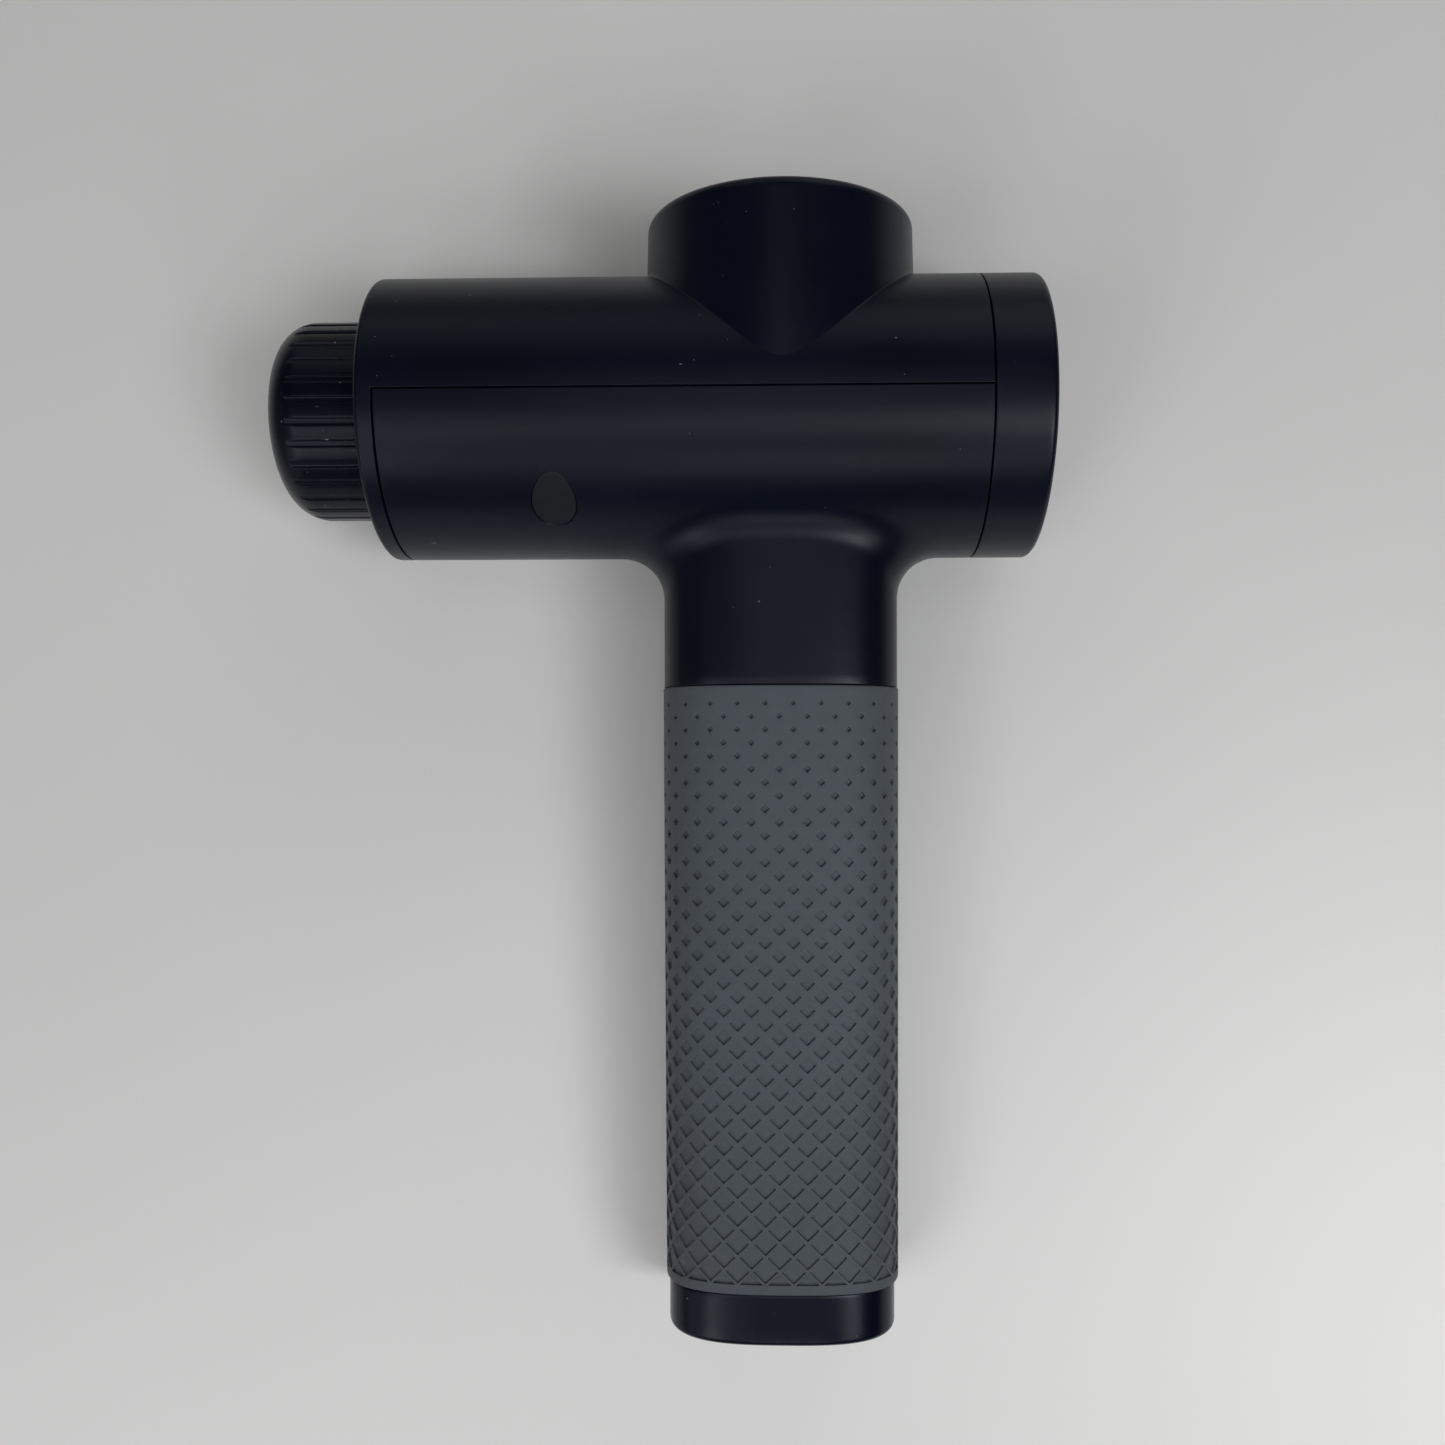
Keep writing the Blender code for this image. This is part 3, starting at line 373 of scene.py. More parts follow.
def upper_housing():
    skin = Skin()
    side = 1
    half = 30
    g = graded(half, 0.010, 0.006)
    t = np.linspace(pi, 0, 65)
    boss_r = lambda y: R_BOSS + (20.0 - y) * BOSS_DRAFT
    ball_y = np.full(len(t), 20.0)
    for _ in range(40):
        ball_r = boss_r(ball_y) + CREASE
        ball_y = np.sqrt((R_BARREL + CREASE) ** 2 - (ball_r * np.sin(t)) ** 2)
    hole_out = ball_r * np.cos(t)
    front = np.concatenate([[RING_BACK], np.linspace(RING_BACK + 1.2, hole_out[0], 17)])
    hole_in = R_BOSS_IN * np.cos(t)
    back_out = np.array([30.5, 32.5, 34.5, 36.5, 38.5, SHELL_END - 0.5, SHELL_END - EDGE])
    back_in = np.linspace(R_BOSS_IN, SHELL_END - EDGE, len(back_out) + 1)[1:]
    front_in = np.linspace(RING_BACK, -R_BOSS_IN, len(front))
    xs_out = np.concatenate([front[:-1], hole_out, back_out])
    xs_in = np.concatenate([front_in[:-1], hole_in, back_in])
    n_front = len(front) - 1
    n_back = len(back_out)

    ball = np.stack([hole_out, ball_y, ball_r * np.sin(t)], 1)
    share = R_BARREL / (R_BARREL + CREASE)
    on_shell = np.stack([ball[:, 0], ball[:, 1] * share, ball[:, 2] * share], 1)
    on_boss = np.stack([boss_r(ball_y) * np.cos(t), ball_y, boss_r(ball_y) * np.sin(t)], 1)
    phi_hole = np.arctan2(on_shell[:, 2], on_shell[:, 1])
    phi_out = np.concatenate([np.zeros(n_front), phi_hole, np.zeros(n_back)])
    phi_in = np.concatenate([np.zeros(n_front), np.arcsin(R_BOSS_IN * np.sin(t) / R_INSIDE), np.zeros(n_back)])

    for z in (-1, 1):
        phis = phi_out[:, None] + (PHI_C - phi_out[:, None]) * g[None, :]
        rows = on_barrel(xs_out[:, None], z * phis, R_BARREL, side)
        skin.grid(rows)
        arcs = [[rows[c][-1], *seam_arc(x, side, z)] for c, x in enumerate(xs_out)]
        skin.grid(arcs)
        seam_face(skin, xs_out, xs_in, side, z, math.sqrt((R_BARREL - 0.6) ** 2 - SEAM**2))
        top_in = PHI_C * INNER_PHI
        phis = phi_in[:, None] + (top_in - phi_in[:, None]) * g[None, :]
        rows = on_barrel(xs_in[:, None], z * phis, R_INSIDE, side)
        edge_in = [(x, side * SEAM, z * math.sqrt(R_INSIDE**2 - SEAM**2)) for x in xs_in]
        skin.grid([*np.swapaxes(rows, 0, 1), edge_in])

    # boss: blend, wall, rounded rim and top
    mirror = np.array([1, 1, -1])
    ring_t = [*range(len(t)), *range(len(t) - 2, 0, -1)]
    flip = [1] * len(t) + [-1] * (len(t) - 2)

    def round_row(row):
        return np.array([row[i] * (mirror if f < 0 else 1) for i, f in zip(ring_t, flip)])

    skin.grid([round_row(r) for r in ball_arc(on_shell, on_boss, ball, 6)], wrap=True)
    wall = []
    rim_y = BOSS_TOP - BOSS_RIM
    for s in graded(16, 0.012, 0.012):
        y = ball_y + (rim_y - ball_y) * s
        wall.append(np.stack([boss_r(y) * np.cos(t), y, boss_r(y) * np.sin(t)], 1))
    skin.grid([round_row(r) for r in wall], wrap=True)
    rim = []
    for k in range(10):
        a = pi / 2 * k / 9
        r = boss_r(rim_y) - BOSS_RIM + BOSS_RIM * math.cos(a)
        rim.append(np.stack([r * np.cos(t), np.full(len(t), rim_y + BOSS_RIM * math.sin(a)), r * np.sin(t)], 1))
    for r in (boss_r(rim_y) - BOSS_RIM - 0.3, 22.0, 17.0, 12.0, 7.0, 3.0):
        rim.append(np.stack([r * np.cos(t), np.full(len(t), BOSS_TOP), r * np.sin(t)], 1))
    rim = [round_row(r) for r in rim]
    skin.grid(rim, wrap=True)
    skin.fan(rim[-1], (0, BOSS_TOP, 0))
    inside = []
    base = np.stack([R_BOSS_IN * np.cos(t), np.sqrt(np.maximum(R_INSIDE**2 - (R_BOSS_IN * np.sin(t)) ** 2, 0)), R_BOSS_IN * np.sin(t)], 1)
    for s in np.linspace(0, 1, 5):
        inside.append(np.stack([base[:, 0], base[:, 1] + (BOSS_CEILING - base[:, 1]) * s, base[:, 2]], 1))
    for r in (20.0, 12.0, 4.0):
        inside.append(np.stack([r * np.cos(t), np.full(len(t), BOSS_CEILING), r * np.sin(t)], 1))
    inside = [round_row(r) for r in inside]
    skin.grid(inside, wrap=True)
    skin.fan(inside[-1], (0, BOSS_CEILING, 0))

    # rear end of the half shell
    outer = np.concatenate([-(PHI_C * g)[::-1][:-1], PHI_C * g])
    inner = outer * INNER_PHI
    shell_end(skin, outer, inner, side, SHELL_END - EDGE, SHELL_END)

    # full front ring
    lower = 52
    out_ang = lambda r: math.acos(SEAM / r)
    arc = np.linspace(0, 1, lower + 1)[1:-1]

    def ring_row(x, r, inner_row=False):
        """All samples round the ring: the upper half's, the seam points at y = SEAM, and the lower arc's."""
        end = out_ang(r)
        up = outer * (INNER_PHI if inner_row else 1.0)
        low_arc = end + (2 * pi - 2 * end) * arc
        ang = np.concatenate([up, [end], low_arc, [-end]])
        return np.stack([np.full(len(ang), float(x)), r * np.cos(ang), r * np.sin(ang)], 1)

    n_up = len(outer)
    q = EDGE
    columns = [ring_row(RING_BACK - q, R_BARREL), ring_row(RING_BACK - 0.5, R_BARREL), ring_row(RING_BACK - 1.4, R_BARREL),
               ring_row(RING_FRONT + 1.5, R_BARREL)]
    for k in range(8):
        a = pi / 2 * k / 7
        columns.append(ring_row(RING_FRONT + 1.1 - 1.1 * math.sin(a), R_BARREL - 1.1 + 1.1 * math.cos(a)))
    columns.append(ring_row(RING_FRONT, R_BARREL - 1.4))
    columns.append(ring_row(RING_FRONT, 25.0, True))
    columns.append(ring_row(RING_FRONT, RING_BORE + 0.6, True))
    for k in range(5):
        a = pi / 2 * k / 4
        columns.append(ring_row(RING_FRONT + 0.35 - 0.35 * math.cos(a), RING_BORE + 0.35 - 0.35 * math.sin(a), True))
    columns.append(ring_row(RING_FRONT + 0.8, RING_BORE, True))
    columns.append(ring_row(RING_STEP, RING_BORE, True))
    columns.append(ring_row(RING_STEP, 24.0, True))
    columns.append(ring_row(RING_STEP, R_INSIDE, True))
    skin.grid(columns, wrap=True)
    back_in = ring_row(RING_BACK, R_INSIDE, True)
    skin.grid([columns[-1], back_in], wrap=True)
    # upper half: on to the shell
    skin.grid([columns[0][:n_up], on_barrel(RING_BACK, outer, R_BARREL, side)])
    # lower half: the ring's eased back edge and its back face
    part = slice(n_up, None)
    rows = []
    for k in range(4):
        a = pi / 2 * k / 3
        row = ring_row(RING_BACK - q + q * math.sin(a), R_BARREL - q + q * math.cos(a))[part]
        if k == 3:
            for i, z in ((0, 1), (-1, -1)):
                row[i] = (RING_BACK, SEAM, z * Z_C)
        rows.append(row)
    rows.append(ring_row(RING_BACK, R_BARREL - 0.6)[part])
    rows.append(back_in[part])
    skin.grid(rows)
    for i, z, start in ((0, 1, n_up - 1), (-1, -1, 0)):
        loop = [columns[0][start], on_barrel(RING_BACK, z * PHI_C, R_BARREL, side), *seam_arc(RING_BACK, side, z)]
        loop += [rows[k][i] for k in (2, 1, 0)]
        skin.polygon(loop)
    # the seam face starts at the ring's back face: join its first point to the ring's back face edge
    return skin.build("upper_shell", on_radius=R_BARREL)


# ---- lower housing -----------------------------------------------------------------------------------------
SIDE_N, FACE_N = 50, 46
LEFT_X = -36.3
RIGHT_X = SHELL_END - EDGE


def edge_drop(p, amount):
    """How far the sleeve's ends sit lower at the handle's narrow sides than on its broad faces."""
    return amount * np.clip(np.abs(p[..., 0]) / NECK_W, 0, 1) ** 3


def lower_housing():
    skin = Skin()
    side = -1
    # samples round the handle: broad +Z face, -X side, broad -Z face, +X side
    quarter = pi / 4
    t_front = t_between(quarter, 3 * quarter, FACE_N)
    t_left = t_between(3 * quarter, 5 * quarter, SIDE_N + 2)
    t_back = t_between(5 * quarter, 7 * quarter, FACE_N)
    t_right = np.concatenate([t_between(7 * quarter, 2 * pi, SIDE_N // 2 + 1), t_between(0, quarter, SIDE_N // 2 + 1)[1:]])
    t = np.concatenate([t_front[:-1], t_left[:-1], t_back[:-1], t_right[:-1]])
    n = len(t)

    neck = section(t, NECK_W, NECK_D, 0.0)
    nx, nz = section_normal(t, NECK_W, NECK_D)
    far = R_BARREL + BLEND
    ball = np.stack([neck[:, 0] + BLEND * nx, 0 * nx, neck[:, 2] + BLEND * nz], 1)
    ball[:, 1] = -np.sqrt(far**2 - ball[:, 2] ** 2)
    share = R_BARREL / far
    on_shell = np.stack([ball[:, 0], ball[:, 1] * share, ball[:, 2] * share], 1)
    on_neck = np.stack([neck[:, 0], ball[:, 1], neck[:, 2]], 1)
    x_hole, phi_hole = on_shell[:, 0], np.arctan2(on_shell[:, 2], -on_shell[:, 1])

    # the patch of barrel round the handle, out to a rectangle in x and phi
    grid_phi = PHI_C * (2 * graded(SIDE_N, 0.004, 0.004) - 1)      # -PHI_C .. PHI_C
    fx = graded(FACE_N - 1, 0.012)                                  # one support step by the rear end
    x_face = RIGHT_X + (LEFT_X - RIGHT_X) * fx
    bx = np.concatenate([x_face[:-1], np.full(SIDE_N + 2, LEFT_X), x_face[::-1][:-1], np.full(SIDE_N + 2, RIGHT_X)])
    bphi = np.concatenate([np.full(FACE_N, PHI_C), grid_phi[::-1][:-1], np.full(FACE_N, -PHI_C), grid_phi[:-1]])

    def patch(r, xh, ph, bx, bphi, levels):
        return [on_barrel(xh + (bx - xh) * w, ph + (bphi - ph) * w, r, side) for w in levels]

    levels = (0, 0.02, 0.05, 0.1, 0.16, 0.23, 0.31, 0.39, 0.48, 0.57, 0.66, 0.75, 0.84, 0.92, 1.0)
    skin.grid(patch(R_BARREL, x_hole, phi_hole, bx, bphi, levels), wrap=True)
    bay = section(t, BAY_W, BAY_D, 0.0)
    bay_phi = np.arcsin(bay[:, 2] / R_INSIDE)
    bay_top = np.stack([bay[:, 0], -R_INSIDE * np.cos(bay_phi), bay[:, 2]], 1)
    skin.grid(patch(R_INSIDE, bay[:, 0], bay_phi, bx, bphi * INNER_PHI, (0, 0.2, 0.45, 0.7, 1.0)), wrap=True)

    # blend, neck, step, tube, and the battery bay back up
    rows = ball_arc(on_shell, on_neck, ball, 12)
    drop = edge_drop(neck, 0.4)
    step_y = SLEEVE_TOP + 0.14 - drop
    for w in (0.06, 0.2, 0.4, 0.6, 0.8, 0.94):
        y = on_neck[:, 1] + (step_y + 0.5 - on_neck[:, 1]) * w
        rows.append(np.stack([neck[:, 0], y, neck[:, 2]], 1))
    for k in range(4):
        a = pi / 2 * k / 3
        inset = 0.22 * (1 - math.cos(a))
        ring = section(t, NECK_W - inset, NECK_D - inset, 0.0)
        ring[:, 1] = step_y + 0.22 - 0.22 * math.sin(a)
        rows.append(ring)
    for a, b, y in ((TUBE_W, TUBE_D, None), (TUBE_W, TUBE_D, -60.0), (TUBE_W, TUBE_D, -120.0), (TUBE_W, TUBE_D, -179.4),
                    (BAY_W, BAY_D, -179.4), (BAY_W, BAY_D, -120.0), (BAY_W, BAY_D, -60.0)):
        ring = section(t, a, b, 0.0)
        ring[:, 1] = step_y if y is None else y
        rows.append(ring)
    rows.append(bay_top)
    skin.grid(rows, wrap=True)

    # the plain front part of the barrel, with a hole for each screw plug
    xs = np.concatenate([[LEFT_X, -37.3], np.linspace(-38.3, -51.7, 11), np.linspace(-51.7, LOWER_FRONT + 0.5, 15)[1:], [LOWER_FRONT + EDGE]])
    i0, i1 = 2, 12
    phi = grid_phi
    outer = on_barrel(xs[:, None], phi[None, :], R_BARREL, side)
    inner = on_barrel(xs[:, None], phi[None, :] * INNER_PHI, R_INSIDE, side)
    holes = []
    for zside in (1, -1):
        lo, hi = sorted((zside * math.radians(20), zside * math.radians(82)))
        js = [j for j, p in enumerate(phi) if lo <= p <= hi]
        holes.append((zside, js[0], js[-1]))

    def outside_holes(i, j):
        return not any(i0 <= i < i1 and j0 <= j < j1 for _, j0, j1 in holes)

    skin.grid(outer, keep=outside_holes)
    skin.grid(inner, keep=outside_holes)

    for zside, j0, j1 in holes:
        ring = [(i, j0) for i in range(i0, i1)] + [(i1, j) for j in range(j0, j1)]
        ring += [(i, j1) for i in range(i1, i0, -1)] + [(i0, j) for j in range(j1, j0, -1)]
        bx_, bp = xs[[i for i, _ in ring]], phi[[j for _, j in ring]]
        zc = zside * PLUG_Z
        ang = np.unwrap(np.arctan2(R_BARREL * np.sin(bp) - zc, bx_ - PLUG_X))
        even = ang[0] + (ang[-1] - ang[0]) * np.arange(len(ang)) / (len(ang) - 1)
        ang = 0.45 * ang + 0.55 * even

        def circle(r):
            return PLUG_X + r * np.cos(ang), zc + r * np.sin(ang)

        def on(radius, r, drop=0.0):
            x, z = circle(r)
            return np.stack([x, -np.sqrt(radius**2 - z * z) + drop, z], 1)

        def flat(r, y):
            x, z = circle(r)
            return np.stack([x, np.full(len(x), float(y)), z], 1)

        q = 0.07
        rim_r = PLUG_R + 0.35
        x1, z1 = circle(rim_r + q)
        p1 = np.arcsin(z1 / R_BARREL)
        rows = [on_barrel(bx_ + (x1 - bx_) * w, bp + (p1 - bp) * w, R_BARREL, side) for w in (0, 0.35, 0.65, 0.88, 1.0)]
        for k in range(1, 5):
            a = pi / 2 * k / 4
            rows.append(on(R_BARREL, rim_r + q * (1 - math.sin(a)), q * (1 - math.cos(a))))
        rows += [flat(rim_r, -15.0), flat(rim_r, -8.0), flat(1.95, -8.0), flat(1.95, -0.45), flat(3.4, -0.45), flat(3.4, -6.0), flat(5.6, -6.0)]
        x2, z2 = circle(5.6)
        p2 = np.arcsin(z2 / R_INSIDE)
        rows += [on_barrel(x2 + (bx_ - x2) * w, p2 + (bp * INNER_PHI - p2) * w, R_INSIDE, side) for w in (0.0, 0.4, 1.0)]
        skin.grid(rows, wrap=True)

    # seam edges and faces
    xs_all = np.concatenate([x_face, xs[1:]])
    for z in (-1, 1):
        arcs = [[on_barrel(x, z * PHI_C, R_BARREL, side), *seam_arc(x, side, z)] for x in xs_all]
        skin.grid(arcs)
        seam_face(skin, xs_all, xs_all, side, z)
        top = on_barrel(xs_all, z * PHI_C * INNER_PHI, R_INSIDE, side)
        edge = [(x, side * SEAM, z * math.sqrt(R_INSIDE**2 - SEAM**2)) for x in xs_all]
        skin.grid([top, edge])
    shell_end(skin, grid_phi, grid_phi * INNER_PHI, side, RIGHT_X, SHELL_END)
    shell_end(skin, grid_phi, grid_phi * INNER_PHI, side, LOWER_FRONT + EDGE, LOWER_FRONT)
    return skin.build("lower_shell", on_radius=R_BARREL)


# ---- sleeve ----------------------------------------------------------------------------------------------
COLUMNS = 26
ROW_0, HALF_ROW = -60.36, 2.6285


def row_y(k):
    """Height of the k-th row of pockets: rows spread slightly towards the handle's end."""
    s = k / 43
    return ROW_0 - HALF_ROW * k * (1 + 0.0633 * s / 2)


# section parameter for a share of the way round, from the middle of the +Z face towards +X
_half_t = (pi / 2 - FINE_T) % (2 * pi)
_sleeve_t = pi / 2 - np.linspace(0, 2 * pi, 28801)
_sp = section(_sleeve_t, 24.4, 16.95, 0.0)
_sa = np.concatenate([[0], np.cumsum(np.hypot(np.diff(_sp[:, 0]), np.diff(_sp[:, 2])))])
_sa /= _sa[-1]


def sleeve_point(column, y, depth):
    """column runs 0..26 round the handle from the middle of the +Z face; depth is into the sleeve."""
    column, y, depth = np.broadcast_arrays(np.asarray(column, float), np.asarray(y, float), np.asarray(depth, float))
    along = np.clip((SLEEVE_TOP - y) / (SLEEVE_TOP - SLEEVE_END), 0, 1)
    share = (column - 0.096 - 0.044 * along) / COLUMNS + (0.0043 + 0.0039 * along) * np.sin(2 * pi * column / COLUMNS)
    t = np.interp(np.mod(share, 1.0), _sa, _sleeve_t)
    a = 24.64 - 0.36 * along
    b = 17.15 - 0.42 * along
    p = section(t, a, b, 0.0)
    nx, nz = section_normal(t, 24.4, 16.9)
    p[..., 0] -= depth * nx
    p[..., 2] -= depth * nz
    p[..., 0] += 0.22 * along
    p[..., 1] = y - arch(column, y)
    return p


def arch(column, y):
    """The sleeve's ends and its pattern bow slightly: lower at the narrow sides."""
    along = np.clip((SLEEVE_TOP - y) / (SLEEVE_TOP - SLEEVE_END), 0, 1)
    side = (1 - np.cos(4 * pi * np.asarray(column, float) / COLUMNS)) / 2
    return side**2 * (0.4 + 0.15 * along)


def grip_sleeve():
    skin = Skin()
    seg = 3
    half = []
    rows_n = 43
    for k in range(rows_n + 1):
        y = row_y(k)
        up = y - row_y(k - 1)          # negative: distance to the row above and below
        down = row_y(k + 1) - y
        hu, hd = -up, -down            # full half-row steps
        size = 0.52 + (2.36 - 0.52) * k / 42.5
        depth_full = 0.62 - 0.19 * k / 42.5
        offset = 0.0 if k % 2 else 0.5
        last = k == rows_n
        for c in range(COLUMNS):
            u = c + offset
            # corners of the cell: right, top, left, bottom (in columns and mm)
            def ring(fx, fu, fd, lift=0.0):
                """Twelve points of a diamond with half sizes fx (columns), fu and fd (mm)."""
                pts = []
                corners = [(fx, 0.0), (0.0, fu), (-fx, 0.0), (0.0, -fd)]
                for a, b in zip(corners, corners[1:] + corners[:1]):
                    for m in range(seg):
                        f = m / seg
                        pts.append((u + a[0] + (b[0] - a[0]) * f, y + lift + a[1] + (b[1] - a[1]) * f))
                return np.array(pts)

            def tri(fx, fu, base):
                """The same for the last row's half diamonds, which stand on a straight base."""
                pts = []
                corners = [(fx, base), (0.0, fu), (-fx, base)]
                for a, b in zip(corners, corners[1:]):
                    for m in range(seg):
                        f = m / seg
                        pts.append((u + a[0] + (b[0] - a[0]) * f, y + a[1] + (b[1] - a[1]) * f))
                for m in range(2 * seg):
                    f = m / (2 * seg)
                    pts.append((u - fx + 2 * fx * f, y + base))
                return np.array(pts)

            px = 5.43
            loops = []
            root2 = math.sqrt(2)
            if not last:
                loops.append((ring(0.5, hu, hd), 0.0))
                e = 0.07 * root2
                mid = (0.5 + (size + e) / px) / 2
                loops.append((ring(mid, (hu + size + e) / 2, (hd + size + e) / 2), 0.0))
                for grow, depth in ((0.07, 0.0), (0.01, 0.025), (-0.02, depth_full * 0.8), (-0.06, depth_full)):
                    s = size + grow * root2
                    loops.append((ring(s / px, s, s), depth))
            else:
                loops.append((tri(0.5, hu, 0.0), 0.0))
                s = size
                loops.append((tri((s + 0.12) / px, s + 0.17, 0.12), 0.0))
                for inset, depth in ((0.0, 0.025), (0.03, depth_full * 0.8), (0.08, depth_full)):
                    w = s - inset * 1.6 - 0.1
                    loops.append((tri(w / px, 0.2 + w, 0.2 + inset), depth))
            rows = [sleeve_point(l[:, 0], l[:, 1], d) for l, d in loops]
            skin.grid(rows, wrap=True)
            l, d = loops[-1]
            skin.fan(rows[-1], sleeve_point(l[:, 0].mean(), l[:, 1].mean(), d))
            if k == 0:  # plain triangles above the first row, up to a straight line
                top = y + hu
                tri_rows = []
                for m in range(seg + 1):
                    f = m / seg
                    left = (u + 0.5 * (1 - 0) - 0.5 * f, y + hu * f)
                    right = (u + 0.5 + 0.5 * f, y + hu * f)
                    cols = np.linspace(left[0], right[0], 2 * seg + 1)
                    tri_rows.append(sleeve_point(cols, np.full(2 * seg + 1, y + hu * f), 0.0))
                skin.grid(tri_rows)
                first_line = top
    last_line = row_y(rows_n)
    cols = np.arange(COLUMNS * 2 * seg) / (2 * seg)

    def loop(y, depth, shift=0.5):
        return sleeve_point(cols + shift, np.full(len(cols), y), depth)

    rows = [loop(first_line, 0.0)]
    top, end = SLEEVE_TOP, SLEEVE_END
    for k in range(5):
        a = pi / 2 * k / 4
        rows.append(loop(top - 0.35 + 0.35 * math.sin(a), 0.35 * (1 - math.cos(a))))
    rows.append(loop(top, 1.30))
    rows.append(loop(-100.0, 1.30))
    rows.append(loop(-140.0, 1.28))
    rows.append(loop(end, 1.26))
    for k in range(5):
        a = pi / 2 * (1 - k / 4)
        rows.append(loop(end + 0.35 - 0.35 * math.sin(a), 0.35 * (1 - math.cos(a))))
    rows.append(loop(last_line - 0.25, 0.0))
    rows.append(loop(last_line, 0.0))
    skin.grid(rows, wrap=True)
    return skin.build("grip_sleeve_silicone", weld=0.004, sharp=60.0)


# ---- end cap ---------------------------------------------------------------------------------------------
CAP_SIDE = 0.14


def end_cap():
    skin = Skin()
    t = np.concatenate([t_between(0, pi / 2, 40)[:-1], t_between(pi / 2, pi, 40)[:-1], t_between(pi, 3 * pi / 2, 40)[:-1], t_between(3 * pi / 2, 2 * pi, 40)[:-1]])
    w, d = 23.56, 16.2
    top = SLEEVE_END - 0.12
    drop = edge_drop(section(t, w, d, 0.0), 0.55)
    rows = []

    def ring(inset, y, a=w, b=d, bow=0.0):
        p = section(t, a - inset, b - inset, 0.0)
        p[:, 0] += CAP_SIDE
        p[:, 1] = y - drop * bow
        rows.append(p)

    for r in (5.35, 8.0):  # flat bottom round the charging socket
        ang = np.arctan2(section(t, w, d, 0.0)[:, 2], section(t, w, d, 0.0)[:, 0])
        rows.append(np.stack([r * np.cos(ang), np.full(len(t), CAP_BOTTOM), r * np.sin(ang)], 1))
    ring(2.4, CAP_BOTTOM)
    for k in range(9):
        a = pi / 2 * k / 8
        ring(1.3 * (1 - math.sin(a)), CAP_BOTTOM + 1.3 * (1 - math.cos(a)))
    ring(0.0, CAP_BOTTOM + 3.0)
    ring(0.0, top - 0.8, bow=1.0)
    for k in range(4):
        a = pi / 2 * k / 3
        ring(0.2 * (1 - math.cos(a)), top - 0.2 + 0.2 * math.sin(a), bow=1.0)
    ring(0.0, top, 20.5, 13.1, bow=0.5)
    ring(0.0, -175.6, 20.5, 13.1)
    ring(0.0, -175.6, 18.9, 11.5)
    ring(0.0, CAP_BOTTOM + 2.3, 18.9, 11.5)
    ang = np.arctan2(rows[0][:, 2], rows[0][:, 0])
    for r, y in ((5.0, CAP_BOTTOM + 2.3), (5.0, CAP_BOTTOM + 0.35)):
        rows.append(np.stack([r * np.cos(ang), np.full(len(t), y), r * np.sin(ang)], 1))
    rows.append(rows[0])
    skin.grid(rows, wrap=True)
    return skin.build("end_cap_shell", sharp=38.0)


# ---- attachment socket -----------------------------------------------------------------------------------
GROOVES = 30


def attachment_socket():
    skin = Skin()
    pitch = 2 * pi / GROOVES
    floor_r = R_COLLAR - 0.45
    # across one groove and the land beside it: offset in mm from the groove's middle, and depth share
    across = [(-0.86, 0.0), (-0.76, 0.05), (-0.70, 0.20), (-0.64, 0.86), (-0.56, 1.0), (-0.2, 1.0), (0.2, 1.0), (0.56, 1.0),
              (0.64, 0.86), (0.70, 0.20), (0.76, 0.05), (0.86, 0.0), (1.3, 0.0), (1.85, 0.0), (2.48, 0.0), (3.03, 0.0)]
    phase = math.radians(6.0)
    ang, share = [], []
    for n in range(GROOVES):
        for off, s in across:
            ang.append(phase + n * pitch + off / R_COLLAR)
            share.append(s)
    ang, share = np.array(ang), np.array(share)

    def outside(r, x):
        cut = np.minimum(r, R_COLLAR - (R_COLLAR - floor_r) * share)
        return np.stack([np.full(len(ang), float(x)), cut * np.cos(ang), cut * np.sin(ang)], 1)

    def plain(r, x):
        return np.stack([np.full(len(ang), float(x)), r * np.cos(ang), r * np.sin(ang)], 1)

    r0 = 7.9
    rows = []
    angles = list(np.linspace(0, 62, 12)) + [65, 67.5, 69.5, 71, 72.5, 74.5, 77, 80, 83.5, 87, 90]
    for a in map(math.radians, angles):
        rows.append(outside(R_COLLAR - r0 + r0 * math.sin(a), COLLAR_FRONT + r0 * (1 - math.cos(a))))
    for x in (-95.0, -93.0, -90.0, -86.0, -82.0, -78.0, -72.0, -66.4):
        rows.append(outside(R_COLLAR, x))
    rows.append(outside(R_COLLAR - 0.1, -66.1))
    rows.append(outside(R_COLLAR - 0.35, -66.0))
    mouth = COLLAR_FRONT
    for r, x in ((18.5, -66.0), (18.3, -66.2), (18.3, -82.5), (2.6, -82.5), (2.6, mouth + 19.5), (10.9, mouth + 19.5), (10.9, mouth + 0.75)):
        rows.append(plain(r, x))
    for k in range(1, 7):
        a = pi / 2 * k / 6
        rows.append(plain(10.9 + 0.6 * (1 - math.cos(a)), mouth + 0.6 - 0.6 * math.sin(a)))
    rows.append(plain(11.7, mouth))
    rows.append(plain(12.5, mouth))
    rows.append(rows[0])
    skin.grid(rows, wrap=True)
    return skin.build("socket_collar", sharp=50.0, weld=0.002)


def socket_liner():
    mouth = COLLAR_FRONT
    back = mouth + 19.2
    corners = [(9.2, back - 0.4, 0.0), (9.6, back, 0.0), (10.6, back, 0.0), (10.6, mouth + 1.2, 0.25), (9.9, mouth + 1.2, 0.3), (9.2, mouth + 2.0, 0.3)]
    outline = rounded(corners, 4)
    # shallow ribs round the bore, which hold the stem of a push-in head
    ribs = []
    x = mouth + 3.6
    while x < back - 2.4:
        ribs += [(9.2, x), (9.42, x + 0.18), (9.42, x + 0.62), (9.2, x + 0.8)]
        x += 2.2
    return turned("socket_liner_ring", "X", (0, 0, 0), outline + ribs, 128, 30.0)


